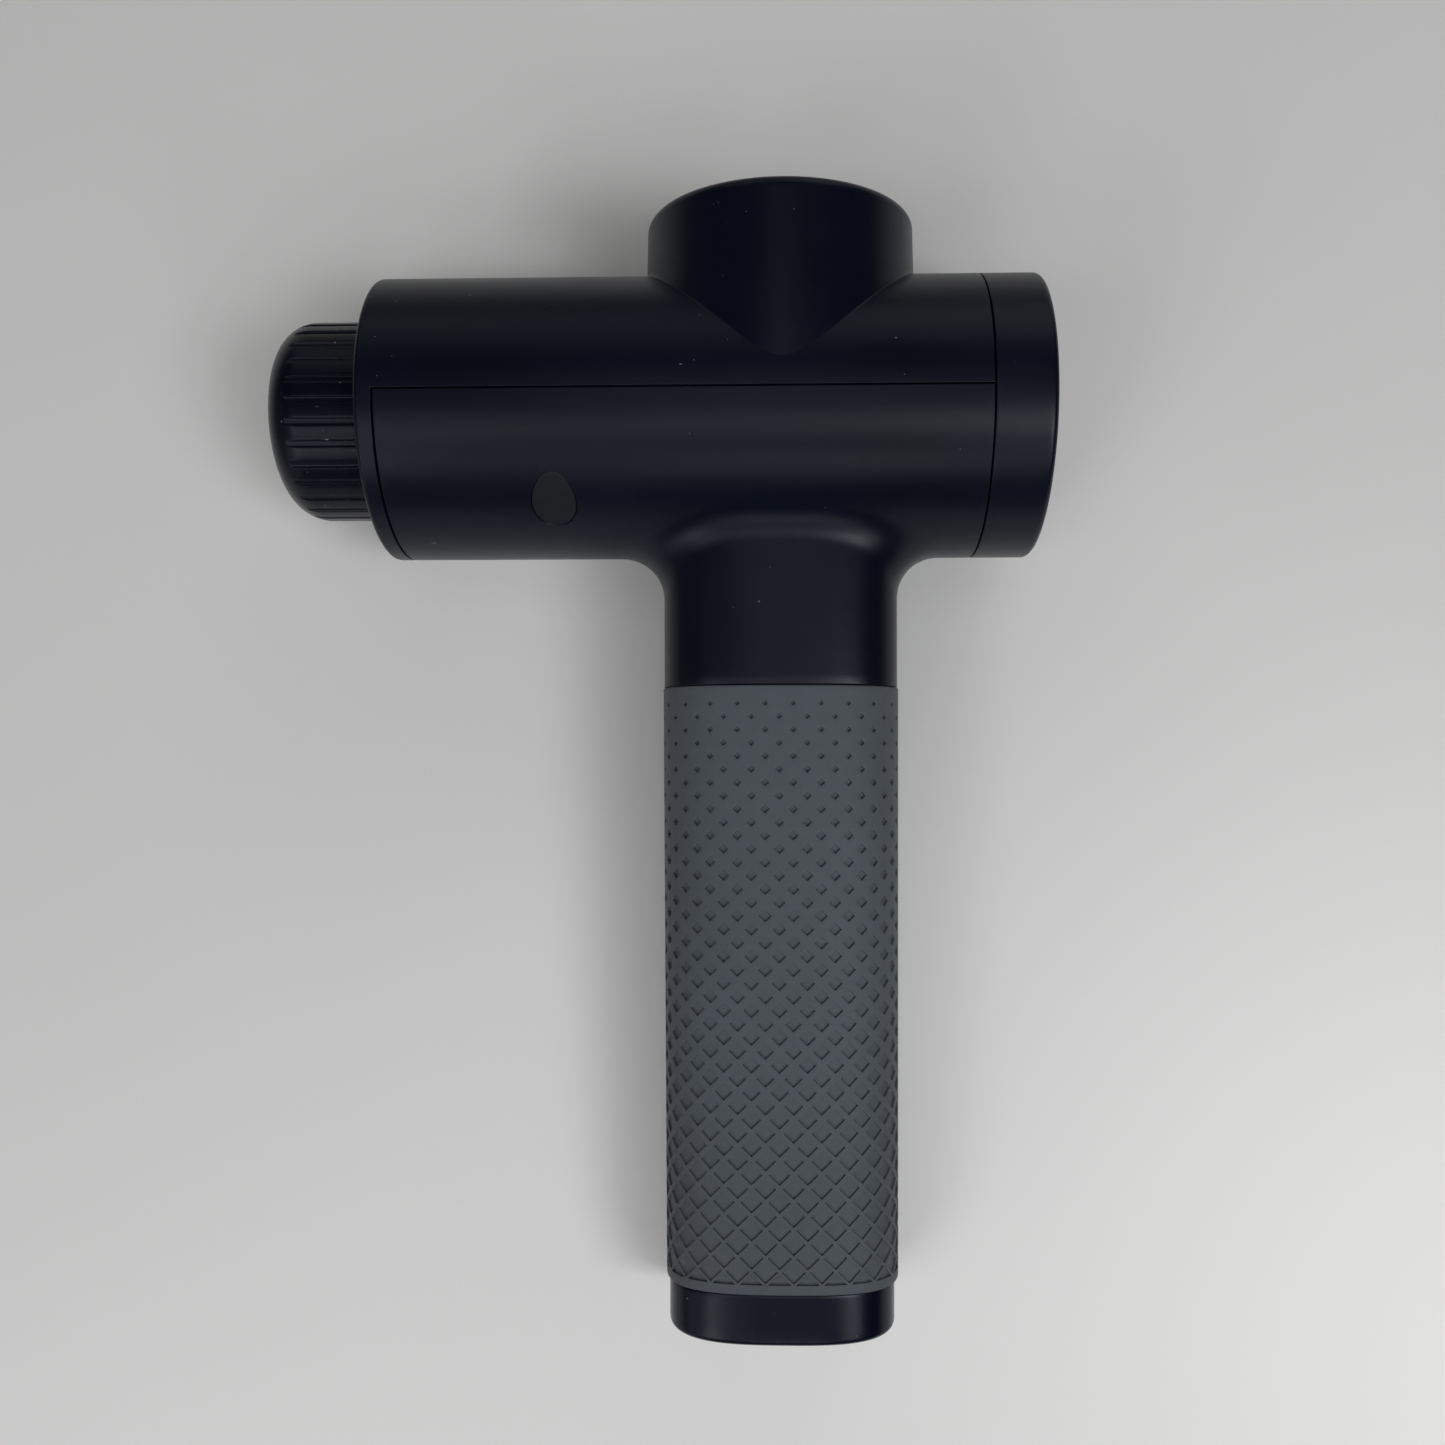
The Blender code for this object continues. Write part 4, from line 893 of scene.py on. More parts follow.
# ---- rear cap, lens, button --------------------------------------------------------------------------------
def rear_cap():
    lens, hole = 20.6, 7.7
    corners = [
        (hole, 51.0, 0.2), (hole, 49.2, 0.0), (24.6, 49.2, 0.0), (24.6, 36.6, 0.3), (26.6, 36.6, 0.4), (26.6, CAP_FRONT, 0.0),
        (R_BARREL, CAP_FRONT, 0.16), (R_BARREL, CAP_FRONT + 0.6, 0.0), (R_BARREL, CAP_BACK - 1.9, 0.0), (R_BARREL, CAP_BACK, 1.33),
        (R_BARREL - 1.9, CAP_BACK, 0.0), (lens + 0.75, CAP_BACK, 0.0), (lens + 0.3, CAP_BACK, 0.2), (lens + 0.3, 51.0, 0.0),
    ]
    return turned("rear_cap_shell", "X", (0, 0, 0), rounded(corners, 7), 160)


def display_lens():
    corners = [(7.8, 51.3, 0.0), (20.6, 51.3, 0.0), (20.6, 52.3, 0.22), (20.2, 52.3, 0.0), (8.2, 52.3, 0.0), (7.8, 52.3, 0.2)]
    return turned("display_lens_disc", "X", (0, 0, 0), rounded(corners, 5), 128)


def power_button():
    profile = [(0, 51.75), (2.0, 51.76), (4.0, 51.82), (5.4, 51.95), (6.3, 52.08), (6.75, 52.1), (7.05, 52.02), (7.24, 51.85), (7.3, 51.6),
               (7.3, 51.2), (7.3, 49.1), (7.5, 48.9), (8.6, 48.9), (8.7, 48.8), (8.7, 48.0), (8.6, 47.9), (8.0, 47.9), (0, 47.9)]
    return turned("power_button_cap", "X", (0, 0, 0), profile, 96)


# ---- plugs and charging parts --------------------------------------------------------------------------------
def screw_plug(name, zside):
    skin = Skin()
    segs = 72
    t = 2 * pi * np.arange(segs) / segs
    zc = zside * PLUG_Z
    face = R_BARREL - 0.06

    def flat(r, y):
        return np.stack([PLUG_X + r * np.cos(t), np.full(segs, float(y)), zc + r * np.sin(t)], 1)

    def on(r, sink):
        z = zc + r * np.sin(t)
        return np.stack([PLUG_X + r * np.cos(t), -np.sqrt(face**2 - z * z) + sink, z], 1)

    top = PLUG_R + 0.16
    rows = [flat(top - 0.3, -12.0), flat(top, -12.3), flat(top, -14.5)]
    # a low bead runs round the edge of the plug
    for inset, sink in ((0.0, 0.14), (0.02, 0.06), (0.08, 0.01), (0.17, -0.01), (0.27, 0.01), (0.38, 0.06), (0.5, 0.09), (0.7, 0.1)):
        rows.append(on(top - inset, sink))
    for r in (3.0, 2.2, 1.2, 0.5):
        rows.append(on(r, 0.1))
    skin.grid(rows, wrap=True)
    skin.fan(rows[0], (PLUG_X, -12.0, zc))
    skin.fan(rows[-1], (PLUG_X, 0.1 - math.sqrt(face**2 - zc * zc), zc))
    return skin.build(name)


def charge_jack():
    corners = [(0, -178.6), (4.5, -178.6), (4.7, -178.8), (4.7, -185.9), (6.2, -185.9), (6.3, -186.0), (6.3, -186.9), (6.2, -187.0), (4.7, -187.0),
               (4.7, -189.0), (4.55, -189.18), (3.6, -189.2), (3.3, -189.05), (3.2, -188.8), (3.2, -180.6), (1.0, -180.6), (1.0, -187.6),
               (0.85, -187.95), (0.5, -188.1), (0, -188.1)]
    return turned("charge_jack_body", "Y", (0, 0, 0), corners, 64)


def charge_light():
    corners = [(0, -189.55), (0.7, -189.54), (1.05, -189.48), (1.2, -189.3), (1.2, -179.0), (1.1, -178.6), (0, -178.6)]
    return turned("charge_light_pipe", "Y", (-11.5, 0, 0), corners, 32)


def post(name, axis, centre, r_out, r_in, lo, hi):
    corners = rounded([(r_in, lo, 0), (r_out, lo, 0), (r_out, hi, 0.2), (r_in, hi, 0.15)], 3)
    return turned(name, axis, centre, corners, 40)


# ---- materials -----------------------------------------------------------------------------------------------
def nodes_for(name):
    mat = bpy.data.materials.new(name)
    mat.use_nodes = True
    tree = mat.node_tree
    return mat, tree, tree.nodes["Principled BSDF"]


def add(tree, kind, **inputs):
    node = tree.nodes.new(kind)
    for key, value in inputs.items():
        key = key.replace("_", " ")
        socket = node.inputs[key]
        socket.default_value = value
    return node


def ramp(tree, fac, stops):
    node = tree.nodes.new("ShaderNodeValToRGB")
    el = node.color_ramp.elements
    while len(el) < len(stops):
        el.new(0.5)
    for e, (pos, col) in zip(el, stops):
        e.position = pos
        e.color = (*col, 1.0) if len(col) == 3 else col
    tree.links.new(fac, node.inputs["Fac"])
    return node


def grey(v):
    return (v, v, v)


def mapped(tree, scale=1.0, stretch=(1, 1, 1), at=(0, 0, 0)):
    coord = tree.nodes.new("ShaderNodeTexCoord")
    mapping = tree.nodes.new("ShaderNodeMapping")
    mapping.inputs["Scale"].default_value = tuple(scale * s for s in stretch)
    mapping.inputs["Location"].default_value = at
    tree.links.new(coord.outputs["Object"], mapping.inputs["Vector"])
    return mapping.outputs["Vector"]


def noise(tree, vector, scale, detail=3.0, rough=0.5):
    node = tree.nodes.new("ShaderNodeTexNoise")
    node.inputs["Scale"].default_value = scale
    node.inputs["Detail"].default_value = detail
    node.inputs["Roughness"].default_value = rough
    tree.links.new(vector, node.inputs["Vector"])
    return node.outputs["Fac"]


def math_node(tree, op, a, b=None, clamp=False):
    node = tree.nodes.new("ShaderNodeMath")
    node.operation = op
    node.use_clamp = clamp
    for i, v in enumerate((a, b)):
        if v is None:
            continue
        if isinstance(v, (int, float)):
            node.inputs[i].default_value = v
        else:
            tree.links.new(v, node.inputs[i])
    return node.outputs[0]


def map_range(tree, v, a, b, c, d):
    node = tree.nodes.new("ShaderNodeMapRange")
    node.inputs["From Min"].default_value = a
    node.inputs["From Max"].default_value = b
    node.inputs["To Min"].default_value = c
    node.inputs["To Max"].default_value = d
    tree.links.new(v, node.inputs["Value"])
    return node.outputs["Result"]


def mix_colour(tree, fac, a, b):
    node = tree.nodes.new("ShaderNodeMix")
    node.data_type = "RGBA"
    for i, v in ((0, fac), (6, a), (7, b)):
        if isinstance(v, (int, float)):
            node.inputs[i].default_value = v
        elif isinstance(v, tuple):
            node.inputs[i].default_value = (*v, 1.0) if len(v) == 3 else v
        else:
            tree.links.new(v, node.inputs[i])
    return node.outputs[2]


def bump(tree, height, strength, distance, normal=None):
    node = tree.nodes.new("ShaderNodeBump")
    node.inputs["Strength"].default_value = strength
    node.inputs["Distance"].default_value = distance
    tree.links.new(height, node.inputs["Height"])
    if normal is not None:
        tree.links.new(normal, node.inputs["Normal"])
    return node.outputs["Normal"]


def specks(tree, vector, scale, size, share):
    """Sparse small dots: a mask that is 1 on a speck. share is how many cells hold one."""
    cells = tree.nodes.new("ShaderNodeTexVoronoi")
    cells.feature = "F1"
    cells.inputs["Scale"].default_value = scale
    cells.inputs["Randomness"].default_value = 1.0
    tree.links.new(vector, cells.inputs["Vector"])
    near = math_node(tree, "LESS_THAN", cells.outputs["Distance"], size)
    split = tree.nodes.new("ShaderNodeSeparateColor")
    tree.links.new(cells.outputs["Color"], split.inputs["Color"])
    chosen = math_node(tree, "LESS_THAN", split.outputs["Red"], share)
    return math_node(tree, "MULTIPLY", near, chosen)


def soft_touch(name, colour, rough, grain=0.25, dust=1.0, coat=0.0, spec=0.20):
    """Moulded black plastic: fine even grain, faint cloudiness in colour and gloss, and a little dust."""
    mat, tree, bsdf = nodes_for(name)
    v = mapped(tree)
    cloud = noise(tree, v, 28.0, 4.0, 0.55)
    fine = noise(tree, v, 5200.0, 2.0, 0.6)
    mid = noise(tree, v, 600.0, 3.0, 0.6)
    dark = tuple(c * 0.82 for c in colour)
    lite = tuple(min(1.0, c * 1.22) for c in colour)
    base = ramp(tree, cloud, [(0.3, dark), (0.7, lite)]).outputs["Color"]
    if dust:
        dots = specks(tree, v, 420.0, 0.07, 0.014 * dust)
        fine_dots = specks(tree, mapped(tree, 1.0, (1, 1, 1), (0.31, 0.17, 0.23)), 1100.0, 0.10, 0.010 * dust)
        lint = specks(tree, mapped(tree, 1.0, (0.22, 1.0, 1.0), (0.11, 0.05, 0.4)), 700.0, 0.09, 0.010 * dust)
        marks = math_node(tree, "MAXIMUM", dots, math_node(tree, "MAXIMUM", fine_dots, lint))
        marks = math_node(tree, "MULTIPLY", marks, 0.7)
        base = mix_colour(tree, marks, base, (0.26, 0.26, 0.25))
    tree.links.new(base, bsdf.inputs["Base Color"])
    r = math_node(tree, "ADD", map_range(tree, cloud, 0.3, 0.7, rough - 0.03, rough + 0.03), map_range(tree, mid, 0.3, 0.7, -0.015, 0.015))
    tree.links.new(r, bsdf.inputs["Roughness"])
    bsdf.inputs["Specular IOR Level"].default_value = spec
    if coat:
        bsdf.inputs["Coat Weight"].default_value = coat
        bsdf.inputs["Coat Roughness"].default_value = 0.3
    tree.links.new(bump(tree, fine, grain, 0.00004), bsdf.inputs["Normal"])
    return mat


def silicone(name, colour, rough=0.62):
    """Matt moulded silicone: chalky sheen, fine grain, caught lint, and painted shade that darkens it towards its lower
    end.
    """
    mat, tree, bsdf = nodes_for(name)
    v = mapped(tree)
    cloud = noise(tree, v, 18.0, 4.0, 0.6)
    fine = noise(tree, v, 3800.0, 2.0, 0.6)
    mid = noise(tree, v, 300.0, 4.0, 0.6)
    dark = tuple(c * 0.9 for c in colour)
    lite = tuple(min(1.0, c * 1.1) for c in colour)
    base = ramp(tree, cloud, [(0.3, dark), (0.7, lite)]).outputs["Color"]
    grain = map_range(tree, mid, 0.35, 0.7, 0.0, 0.12)
    base = mix_colour(tree, grain, base, tuple(c * 1.6 for c in colour))
    dots = specks(tree, v, 380.0, 0.07, 0.02)
    base = mix_colour(tree, math_node(tree, "MULTIPLY", dots, 0.5), base, (0.3, 0.3, 0.3))
    # painted shade: the sleeve's colour is darkened a little towards its lower end, where less light reaches it
    place = tree.nodes.new("ShaderNodeSeparateXYZ")
    tree.links.new(v, place.inputs["Vector"])
    painted_shade = math_node(tree, "ADD", map_range(tree, place.outputs["Y"], 0.014, -0.070, 0.0, 0.10), map_range(tree, place.outputs["Y"], -0.050, -0.092, 0.0, 0.09))
    base = mix_colour(tree, painted_shade, base, (0.008, 0.008, 0.008))
    tree.links.new(base, bsdf.inputs["Base Color"])
    tree.links.new(map_range(tree, cloud, 0.3, 0.7, rough - 0.04, rough + 0.04), bsdf.inputs["Roughness"])
    bsdf.inputs["Specular IOR Level"].default_value = 0.35
    bsdf.inputs["Sheen Weight"].default_value = 0.03
    bsdf.inputs["Sheen Roughness"].default_value = 0.5
    tree.links.new(bump(tree, fine, 0.3, 0.00005), bsdf.inputs["Normal"])
    return mat


def rubber(name, colour, rough=0.75, spec=0.4):
    mat, tree, bsdf = nodes_for(name)
    v = mapped(tree)
    cloud = noise(tree, v, 60.0, 4.0, 0.6)
    fine = noise(tree, v, 2600.0, 3.0, 0.65)
    base = ramp(tree, cloud, [(0.3, tuple(c * 0.8 for c in colour)), (0.7, tuple(c * 1.25 for c in colour))]).outputs["Color"]
    tree.links.new(base, bsdf.inputs["Base Color"])
    tree.links.new(map_range(tree, cloud, 0.3, 0.7, rough - 0.05, rough + 0.05), bsdf.inputs["Roughness"])
    bsdf.inputs["Specular IOR Level"].default_value = spec
    tree.links.new(bump(tree, fine, 0.35, 0.00005), bsdf.inputs["Normal"])
    return mat


def metal(name, colour, rough=0.3, brushed=None, tarnish=0.12):
    """Bare metal with fine machining marks along one direction and faint staining."""
    mat, tree, bsdf = nodes_for(name)
    stretch = {"X": (0.04, 1, 1), "Y": (1, 0.04, 1), "Z": (1, 1, 0.04), None: (1, 1, 1)}[brushed]
    marks = noise(tree, mapped(tree, 1.0, stretch), 2400.0, 3.0, 0.6)
    cloud = noise(tree, mapped(tree), 90.0, 4.0, 0.6)
    base = ramp(tree, cloud, [(0.35, tuple(c * (1 - tarnish) for c in colour)), (0.65, colour)]).outputs["Color"]
    tree.links.new(base, bsdf.inputs["Base Color"])
    bsdf.inputs["Metallic"].default_value = 1.0
    r = math_node(tree, "ADD", map_range(tree, marks, 0.3, 0.7, rough - 0.07, rough + 0.07), map_range(tree, cloud, 0.3, 0.7, -0.03, 0.05))
    tree.links.new(r, bsdf.inputs["Roughness"])
    tree.links.new(bump(tree, marks, 0.25, 0.00003), bsdf.inputs["Normal"])
    return mat


def windings(name):
    mat, tree, bsdf = nodes_for(name)
    wave = tree.nodes.new("ShaderNodeTexWave")
    wave.wave_type = "BANDS"
    wave.bands_direction = "Y"
    wave.inputs["Scale"].default_value = 520.0
    wave.inputs["Distortion"].default_value = 1.2
    wave.inputs["Detail"].default_value = 1.0
    tree.links.new(mapped(tree), wave.inputs["Vector"])
    base = ramp(tree, wave.outputs["Fac"], [(0.1, (0.20, 0.07, 0.025)), (0.6, (0.68, 0.30, 0.12)), (1.0, (0.85, 0.45, 0.22))]).outputs["Color"]
    tree.links.new(base, bsdf.inputs["Base Color"])
    bsdf.inputs["Metallic"].default_value = 0.85
    tree.links.new(map_range(tree, wave.outputs["Fac"], 0.0, 1.0, 0.5, 0.28), bsdf.inputs["Roughness"])
    tree.links.new(bump(tree, wave.outputs["Fac"], 0.7, 0.0002), bsdf.inputs["Normal"])
    return mat


def circuit_board(name):
    """Green solder mask over copper tracks, with tinned pads."""
    mat, tree, bsdf = nodes_for(name)
    v = mapped(tree)
    brick = tree.nodes.new("ShaderNodeTexBrick")
    brick.inputs["Scale"].default_value = 260.0
    brick.inputs["Mortar Size"].default_value = 0.07
    brick.inputs["Color1"].default_value = (0.0, 0.0, 0.0, 1)
    brick.inputs["Color2"].default_value = (0.15, 0.15, 0.15, 1)
    brick.inputs["Mortar"].default_value = (1, 1, 1, 1)
    tree.links.new(v, brick.inputs["Vector"])
    cloud = noise(tree, v, 120.0, 3.0, 0.5)
    base = mix_colour(tree, brick.outputs["Fac"], (0.012, 0.10, 0.045), (0.03, 0.21, 0.09))
    pads = specks(tree, v, 330.0, 0.22, 0.35)
    base = mix_colour(tree, pads, base, (0.62, 0.62, 0.60))
    base = mix_colour(tree, math_node(tree, "MULTIPLY", cloud, 0.12), base, (0.0, 0.02, 0.01))
    tree.links.new(base, bsdf.inputs["Base Color"])
    tree.links.new(math_node(tree, "MULTIPLY", pads, 0.9), bsdf.inputs["Metallic"])
    tree.links.new(map_range(tree, cloud, 0.3, 0.7, 0.32, 0.48), bsdf.inputs["Roughness"])
    tree.links.new(bump(tree, brick.outputs["Fac"], 0.3, 0.00005), bsdf.inputs["Normal"])
    return mat


def film_wrap(name, colour):
    """Shrink film round a cell: smooth and glossy with faint lengthwise creases."""
    mat, tree, bsdf = nodes_for(name)
    creases = noise(tree, mapped(tree, 1.0, (1, 0.12, 1)), 320.0, 3.0, 0.55)
    cloud = noise(tree, mapped(tree), 50.0, 3.0, 0.5)
    base = ramp(tree, cloud, [(0.3, tuple(c * 0.8 for c in colour)), (0.7, colour)]).outputs["Color"]
    tree.links.new(base, bsdf.inputs["Base Color"])
    tree.links.new(map_range(tree, creases, 0.3, 0.7, 0.22, 0.36), bsdf.inputs["Roughness"])
    bsdf.inputs["Coat Weight"].default_value = 0.3
    bsdf.inputs["Coat Roughness"].default_value = 0.15
    tree.links.new(bump(tree, creases, 0.3, 0.0001), bsdf.inputs["Normal"])
    return mat


def smoked_lens(name):
    mat, tree, bsdf = nodes_for(name)
    v = mapped(tree)
    cloud = noise(tree, v, 70.0, 4.0, 0.6)
    base = ramp(tree, cloud, [(0.3, grey(0.006)), (0.7, (0.010, 0.010, 0.012))]).outputs["Color"]
    smudge = map_range(tree, noise(tree, v, 160.0, 5.0, 0.65), 0.4, 0.75, 0.06, 0.16)
    dots = specks(tree, v, 420.0, 0.07, 0.02)
    base = mix_colour(tree, math_node(tree, "MULTIPLY", dots, 0.4), base, grey(0.2))
    tree.links.new(base, bsdf.inputs["Base Color"])
    tree.links.new(smudge, bsdf.inputs["Roughness"])
    bsdf.inputs["Coat Weight"].default_value = 0.5
    bsdf.inputs["Coat Roughness"].default_value = 0.04
    return mat


def light_pipe(name):
    mat, tree, bsdf = nodes_for(name)
    cloud = noise(tree, mapped(tree), 400.0, 2.0, 0.5)
    base = ramp(tree, cloud, [(0.3, grey(0.62)), (0.7, (0.75, 0.78, 0.78))]).outputs["Color"]
    tree.links.new(base, bsdf.inputs["Base Color"])
    tree.links.new(map_range(tree, cloud, 0.3, 0.7, 0.12, 0.22), bsdf.inputs["Roughness"])
    bsdf.inputs["Subsurface Weight"].default_value = 0.3
    bsdf.inputs["Subsurface Radius"].default_value = (0.002, 0.002, 0.002)
    return mat


BLACK = (0.0022, 0.0036, 0.0110)
MATS = {
    "black_plastic": soft_touch("black_plastic", BLACK, 0.34),
    "cap_plastic": soft_touch("cap_plastic", BLACK, 0.26, grain=0.10, dust=0.6, spec=0.16),
    "socket_plastic": soft_touch("socket_plastic", (0.0026, 0.0030, 0.0085), 0.28, dust=6.0, spec=0.17),
    "plug_rubber": rubber("plug_rubber", (0.0078, 0.0082, 0.0115), 0.62, 0.25),
    "grip_silicone": silicone("grip_silicone", (0.078, 0.0862, 0.0956)),
    "black_rubber": rubber("black_rubber", (0.016, 0.016, 0.017)),
    "smoked_lens": smoked_lens("smoked_lens"),
    "steel": metal("steel", (0.56, 0.56, 0.57), 0.30, "Y"),
    "steel_along_x": metal("steel_along_x", (0.58, 0.58, 0.59), 0.26, "X"),
    "aluminium": metal("aluminium", (0.72, 0.73, 0.74), 0.38),
    "bronze": metal("bronze", (0.62, 0.42, 0.20), 0.36, "X", 0.2),
    "dark_steel": metal("dark_steel", (0.20, 0.20, 0.205), 0.42),
    "magnet": metal("magnet", (0.17, 0.17, 0.18), 0.42),
    "copper": windings("copper"),
    "nickel": metal("nickel", (0.66, 0.64, 0.60), 0.30),
    "board_green": circuit_board("board_green"),
    "cell_wrap": film_wrap("cell_wrap", (0.04, 0.20, 0.42)),
    "holder_plastic": soft_touch("holder_plastic", (0.05, 0.05, 0.052), 0.5, dust=0),
    "lead_insulation": soft_touch("lead_insulation", (0.38, 0.018, 0.018), 0.42, dust=0),
    "clear_pipe": light_pipe("clear_pipe"),
}


def wear(obj, key):
    obj.data.materials.clear()
    obj.data.materials.append(MATS[key])


# ---- pieces ----------------------------------------------------------------------------------------------------
def piece(obj, key, body, *nodes, slot=None):
    wear(obj, key)
    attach(obj, body)
    if nodes:
        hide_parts(*nodes)
    return obj


piece(upper_housing(), "black_plastic", "gun_body", "upper_housing")
piece(lower_housing(), "black_plastic", "gun_body", "lower_housing")
piece(grip_sleeve(), "grip_silicone", "gun_body", "grip_sleeve")
piece(end_cap(), "cap_plastic", "gun_body", "end_cap", slot="black_plastic")
piece(rear_cap(), "black_plastic", "gun_body", "rear_cap")
piece(display_lens(), "smoked_lens", "gun_body", "display_lens")
piece(power_button(), "black_plastic", "power_button", "power_button")
piece(attachment_socket(), "socket_plastic", "piston", "attachment_socket")
piece(socket_liner(), "black_rubber", "piston", "socket_liner")
piece(screw_plug("screw_plug_cover_left", 1), "plug_rubber", "gun_body", "screw_plug_left")
piece(screw_plug("screw_plug_cover_right", -1), "plug_rubber", "gun_body", "screw_plug_right")
piece(charge_jack(), "nickel", "gun_body", "charge_jack", slot="steel")
piece(charge_light(), "clear_pipe", "gun_body", "charge_light")
for zside, tag in ((1, "left"), (-1, "right")):
    piece(post(f"upper_screw_post_{tag}", "Y", (PLUG_X, 0, zside * PLUG_Z), 3.5, 1.75, 0.45, 17.2), "black_plastic", "gun_body")
    piece(post(f"display_post_{tag}", "X", (0, 0, zside * 18.0), 2.4, 1.4, 49.6, 45.8), "black_plastic", "gun_body")

SLOTS = {m["slot"]: m for m in frame["record"].get("materials", [])}
replaced = {"upper_housing", "lower_housing", "grip_sleeve", "end_cap", "rear_cap", "display_lens", "power_button", "attachment_socket",
            "socket_liner", "screw_plug_left", "screw_plug_right", "charge_jack", "charge_light"}
KEYS = {
    "battery_cell": "cell_wrap", "cell_holder": "holder_plastic", "cell_strip": "nickel", "battery_board": "board_green",
    "control_board": "board_green", "charge_board": "board_green", "display_board": "board_green", "battery_leads": "lead_insulation",
    "motor_leads": "lead_insulation", "display_lead": "lead_insulation", "drive_frame": "aluminium", "guide_bush": "bronze",
    "front_damper": "black_rubber", "motor_damper": "black_rubber", "dust_seal": "black_rubber", "motor_base": "aluminium",
    "motor_screw": "steel", "motor_bearing": "steel", "stator_core": "steel", "stator_windings": "copper", "rotor_bell": "aluminium",
    "rotor_magnets": "magnet", "motor_shaft": "steel", "crank_disc": "steel", "connecting_rod": "aluminium", "big_end_bearing": "steel",
    "crank_pin": "steel", "piston": "steel_along_x", "wrist_pin": "steel", "socket_screw": "dark_steel", "housing_screw": "steel",
    "display_screw": "steel_along_x", "dome_switch": "nickel",
}
for name, obj in NODES.items():
    if name in replaced:
        continue
    key = next((k for k in sorted(KEYS, key=len, reverse=True) if name.startswith(k)), None)
    wear(obj, KEYS[key] if key else "steel")

# ---- floor ------------------------------------------------------------------------------------------------------
TILT = math.radians(3.98)


def floor_z(y):
    """Height of the table under the gun, in gun millimetres: it rests on the barrel and on the sleeve's end."""
    return -(R_BARREL + 0.02) / math.cos(TILT) - y * math.tan(TILT)


def make_floor():
    skin = Skin()
    xs = np.linspace(-900, 900, 3)
    ys = np.linspace(-900, 900, 3)
    base = skin.add([(x, y, floor_z(y)) for y in ys for x in xs])
    for i in range(2):
        for j in range(2):
            skin.faces.append((base + i * 3 + j, base + i * 3 + j + 1, base + (i + 1) * 3 + j + 1, base + (i + 1) * 3 + j))
    obj = skin.build("table_top")
    mat, tree, bsdf = nodes_for("table")
    v = mapped(tree)
    cloud = noise(tree, v, 5.0, 3.0, 0.5)
    fine = noise(tree, v, 900.0, 3.0, 0.6)
    base = ramp(tree, cloud, [(0.25, (0.82, 0.785, 0.74)), (0.75, (0.86, 0.825, 0.78))]).outputs["Color"]
    tree.links.new(base, bsdf.inputs["Base Color"])
    tree.links.new(map_range(tree, cloud, 0.3, 0.7, 0.45, 0.55), bsdf.inputs["Roughness"])
    bsdf.inputs["Specular IOR Level"].default_value = 0.3
    tree.links.new(bump(tree, fine, 0.1, 0.00005), bsdf.inputs["Normal"])
    obj.data.materials.append(mat)
    return obj


floor = make_floor()

# ---- camera ------------------------------------------------------------------------------------------------------
cam = bpy.data.cameras.new("camera")
cam.sensor_fit = "HORIZONTAL"
cam.sensor_width = 36.0
cam.lens = 36.0 * 1303.7586 / 1445
cam.clip_start = 0.01
cam.clip_end = 10.0
camera = bpy.data.objects.new("camera", cam)
bpy.context.scene.collection.objects.link(camera)
rx, ry, rz = -0.00055924, -0.02718366, 0.00126728
turn = Matrix.Rotation(rz, 3, "Z") @ Matrix.Rotation(ry, 3, "Y") @ Matrix.Rotation(rx, 3, "X")
camera.matrix_world = Matrix.Translation(Vector(world((-4.7417, -64.4124, 277.3339)))) @ turn.transposed().to_4x4()
bpy.context.scene.camera = camera

# ---- light -------------------------------------------------------------------------------------------------------
def area(name, at, aim, size, power, colour, spread=180.0):
    data = bpy.data.lights.new(name, "AREA")
    data.shape = "RECTANGLE"
    data.size, data.size_y = size
    data.energy = power
    data.color = colour
    data.spread = math.radians(spread)
    obj = bpy.data.objects.new(name, data)
    bpy.context.scene.collection.objects.link(obj)
    obj.location = Vector(at)
    way = Vector(aim) - Vector(at)
    obj.rotation_euler = way.to_track_quat("-Z", "Y").to_euler()
    return obj


gun = Vector(world((0, -60, 0)))


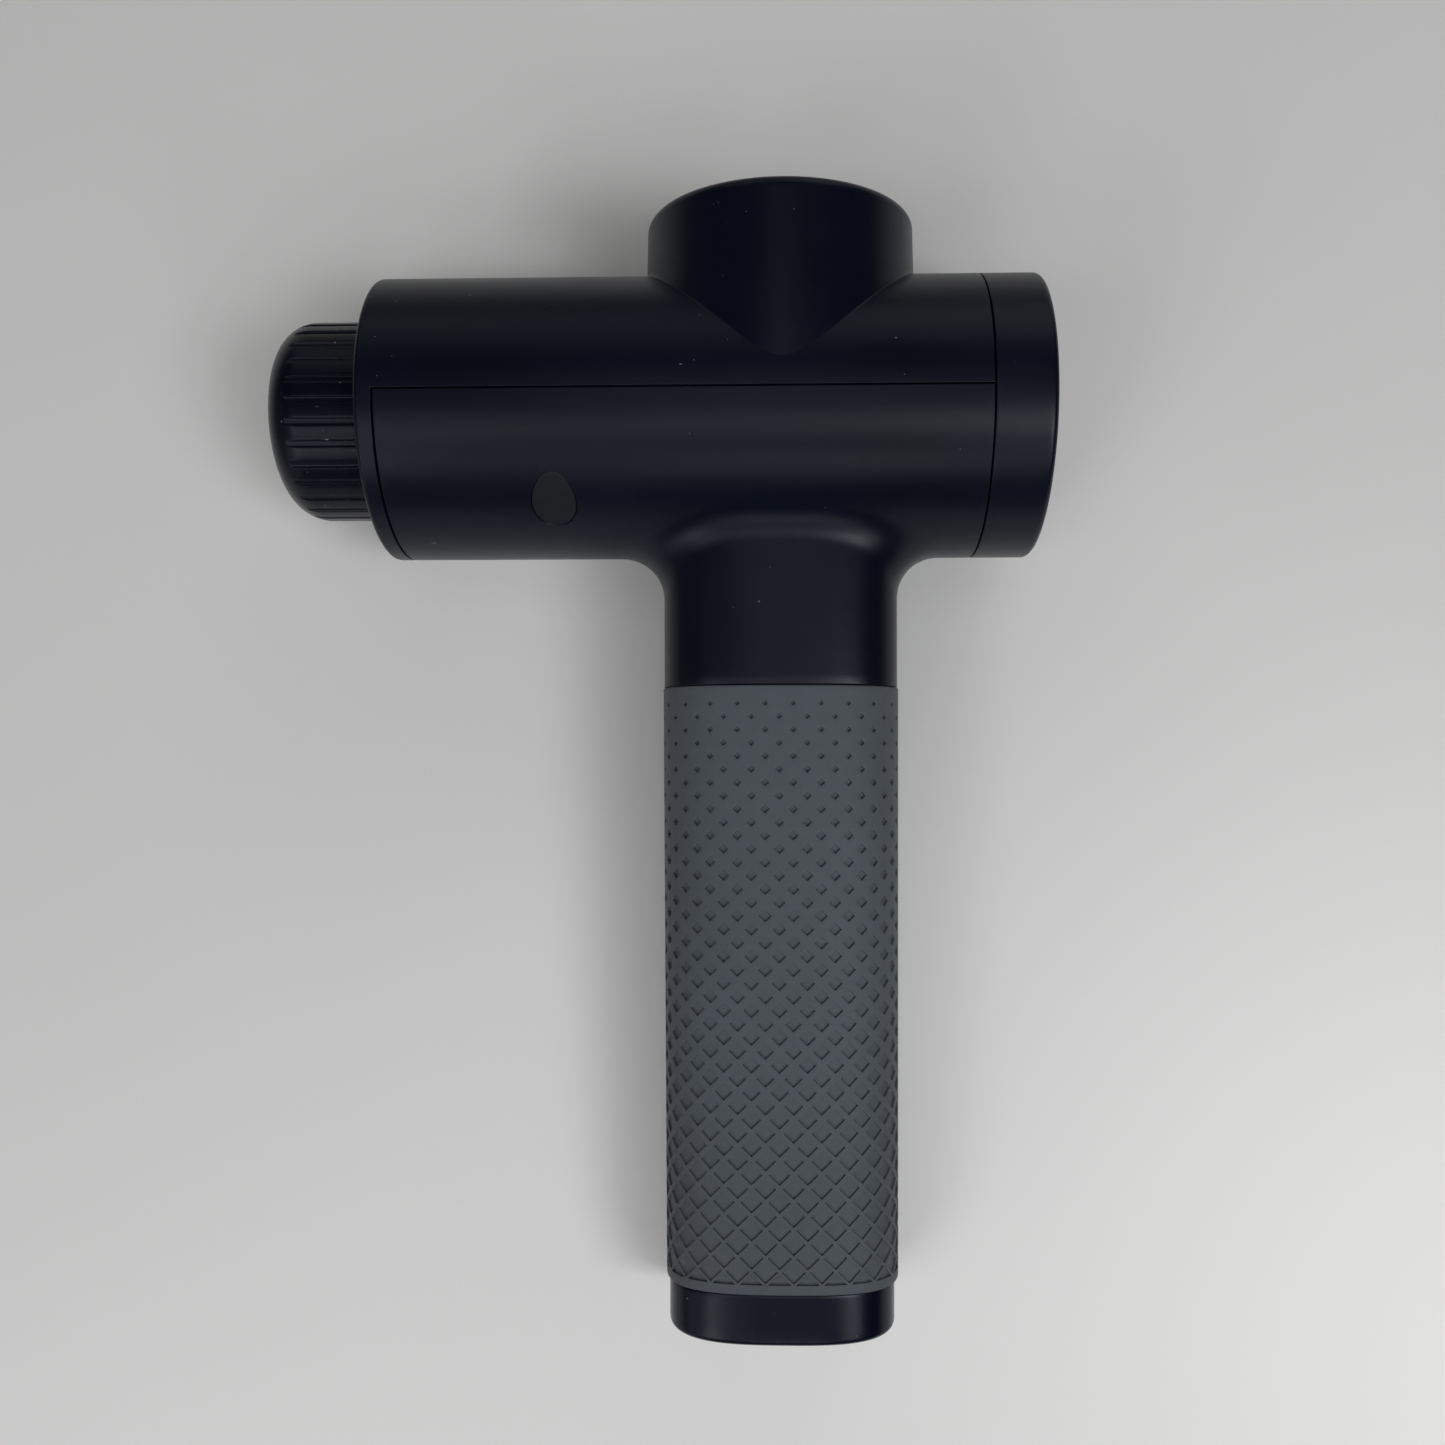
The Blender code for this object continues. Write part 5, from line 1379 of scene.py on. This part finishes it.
def soft_box(name, azimuth, zenith, distance, size, power, colour):
    """A square soft light on the sphere round the gun: azimuth from +X towards +Y, zenith from +Z, in degrees."""
    a, t = math.radians(azimuth), math.radians(zenith)
    away = Vector((math.sin(t) * math.cos(a), math.sin(t) * math.sin(a), math.cos(t)))
    return area(name, gun + away * distance, gun, (size, size), power, colour)


COOL = (0.90, 0.95, 1.0)
soft_box("light_left_low", -130, 48, 1.4, 0.38, 1.72, COOL)
soft_box("light_left_side", -158, 36, 1.4, 0.38, 0.90, COOL)
soft_box("light_left_high", -140, 26, 1.4, 0.38, 0.90, COOL)
soft_box("light_right_main", -24, 36, 1.4, 0.38, 3.80, COOL)
soft_box("light_right_high", -29, 24, 1.4, 0.38, 2.34, COOL)
soft_box("light_right_low", -46, 47, 1.4, 0.38, 1.32, COOL)
soft_box("light_over_near", -90, 12, 1.4, 0.44, 1.25, COOL)
soft_box("light_over_far", 90, 14, 1.4, 0.44, 0.69, COOL)
soft_box("light_foot", -86, 44, 1.4, 0.52, 1.60, COOL)
soft_box("light_fill_right", 70, 70, 1.4, 0.80, 1.60, (0.97, 0.98, 1.0))
soft_box("light_fill_left", 108, 68, 1.4, 0.80, 0.90, (0.97, 0.98, 1.0))
soft_box("light_fill_side", 180, 70, 1.4, 0.80, 0.25, (0.97, 0.98, 1.0))
soft_box("light_fill_low_left", -140, 66, 1.4, 0.80, 1.50, (0.97, 0.98, 1.0))
area("light_corner_right", world((215, -215, 235)), world((175, -200, -29)), (0.16, 0.16), 0.046, (0.97, 0.98, 1.0), 90.0)
area("light_corner_left", world((-125, -335, 235)), world((-110, -285, -29)), (0.16, 0.16), 0.020, (0.97, 0.98, 1.0), 90.0)

scene = bpy.context.scene
sky = bpy.data.worlds.new("room")
scene.world = sky
sky.use_nodes = True
sky.node_tree.nodes["Background"].inputs["Color"].default_value = (0.92, 0.96, 1.0, 1.0)
sky.node_tree.nodes["Background"].inputs["Strength"].default_value = 0.018
scene.view_settings.view_transform = "Standard"
scene.view_settings.look = "None"
scene.view_settings.exposure = 0.0
scene.view_settings.gamma = 1.0
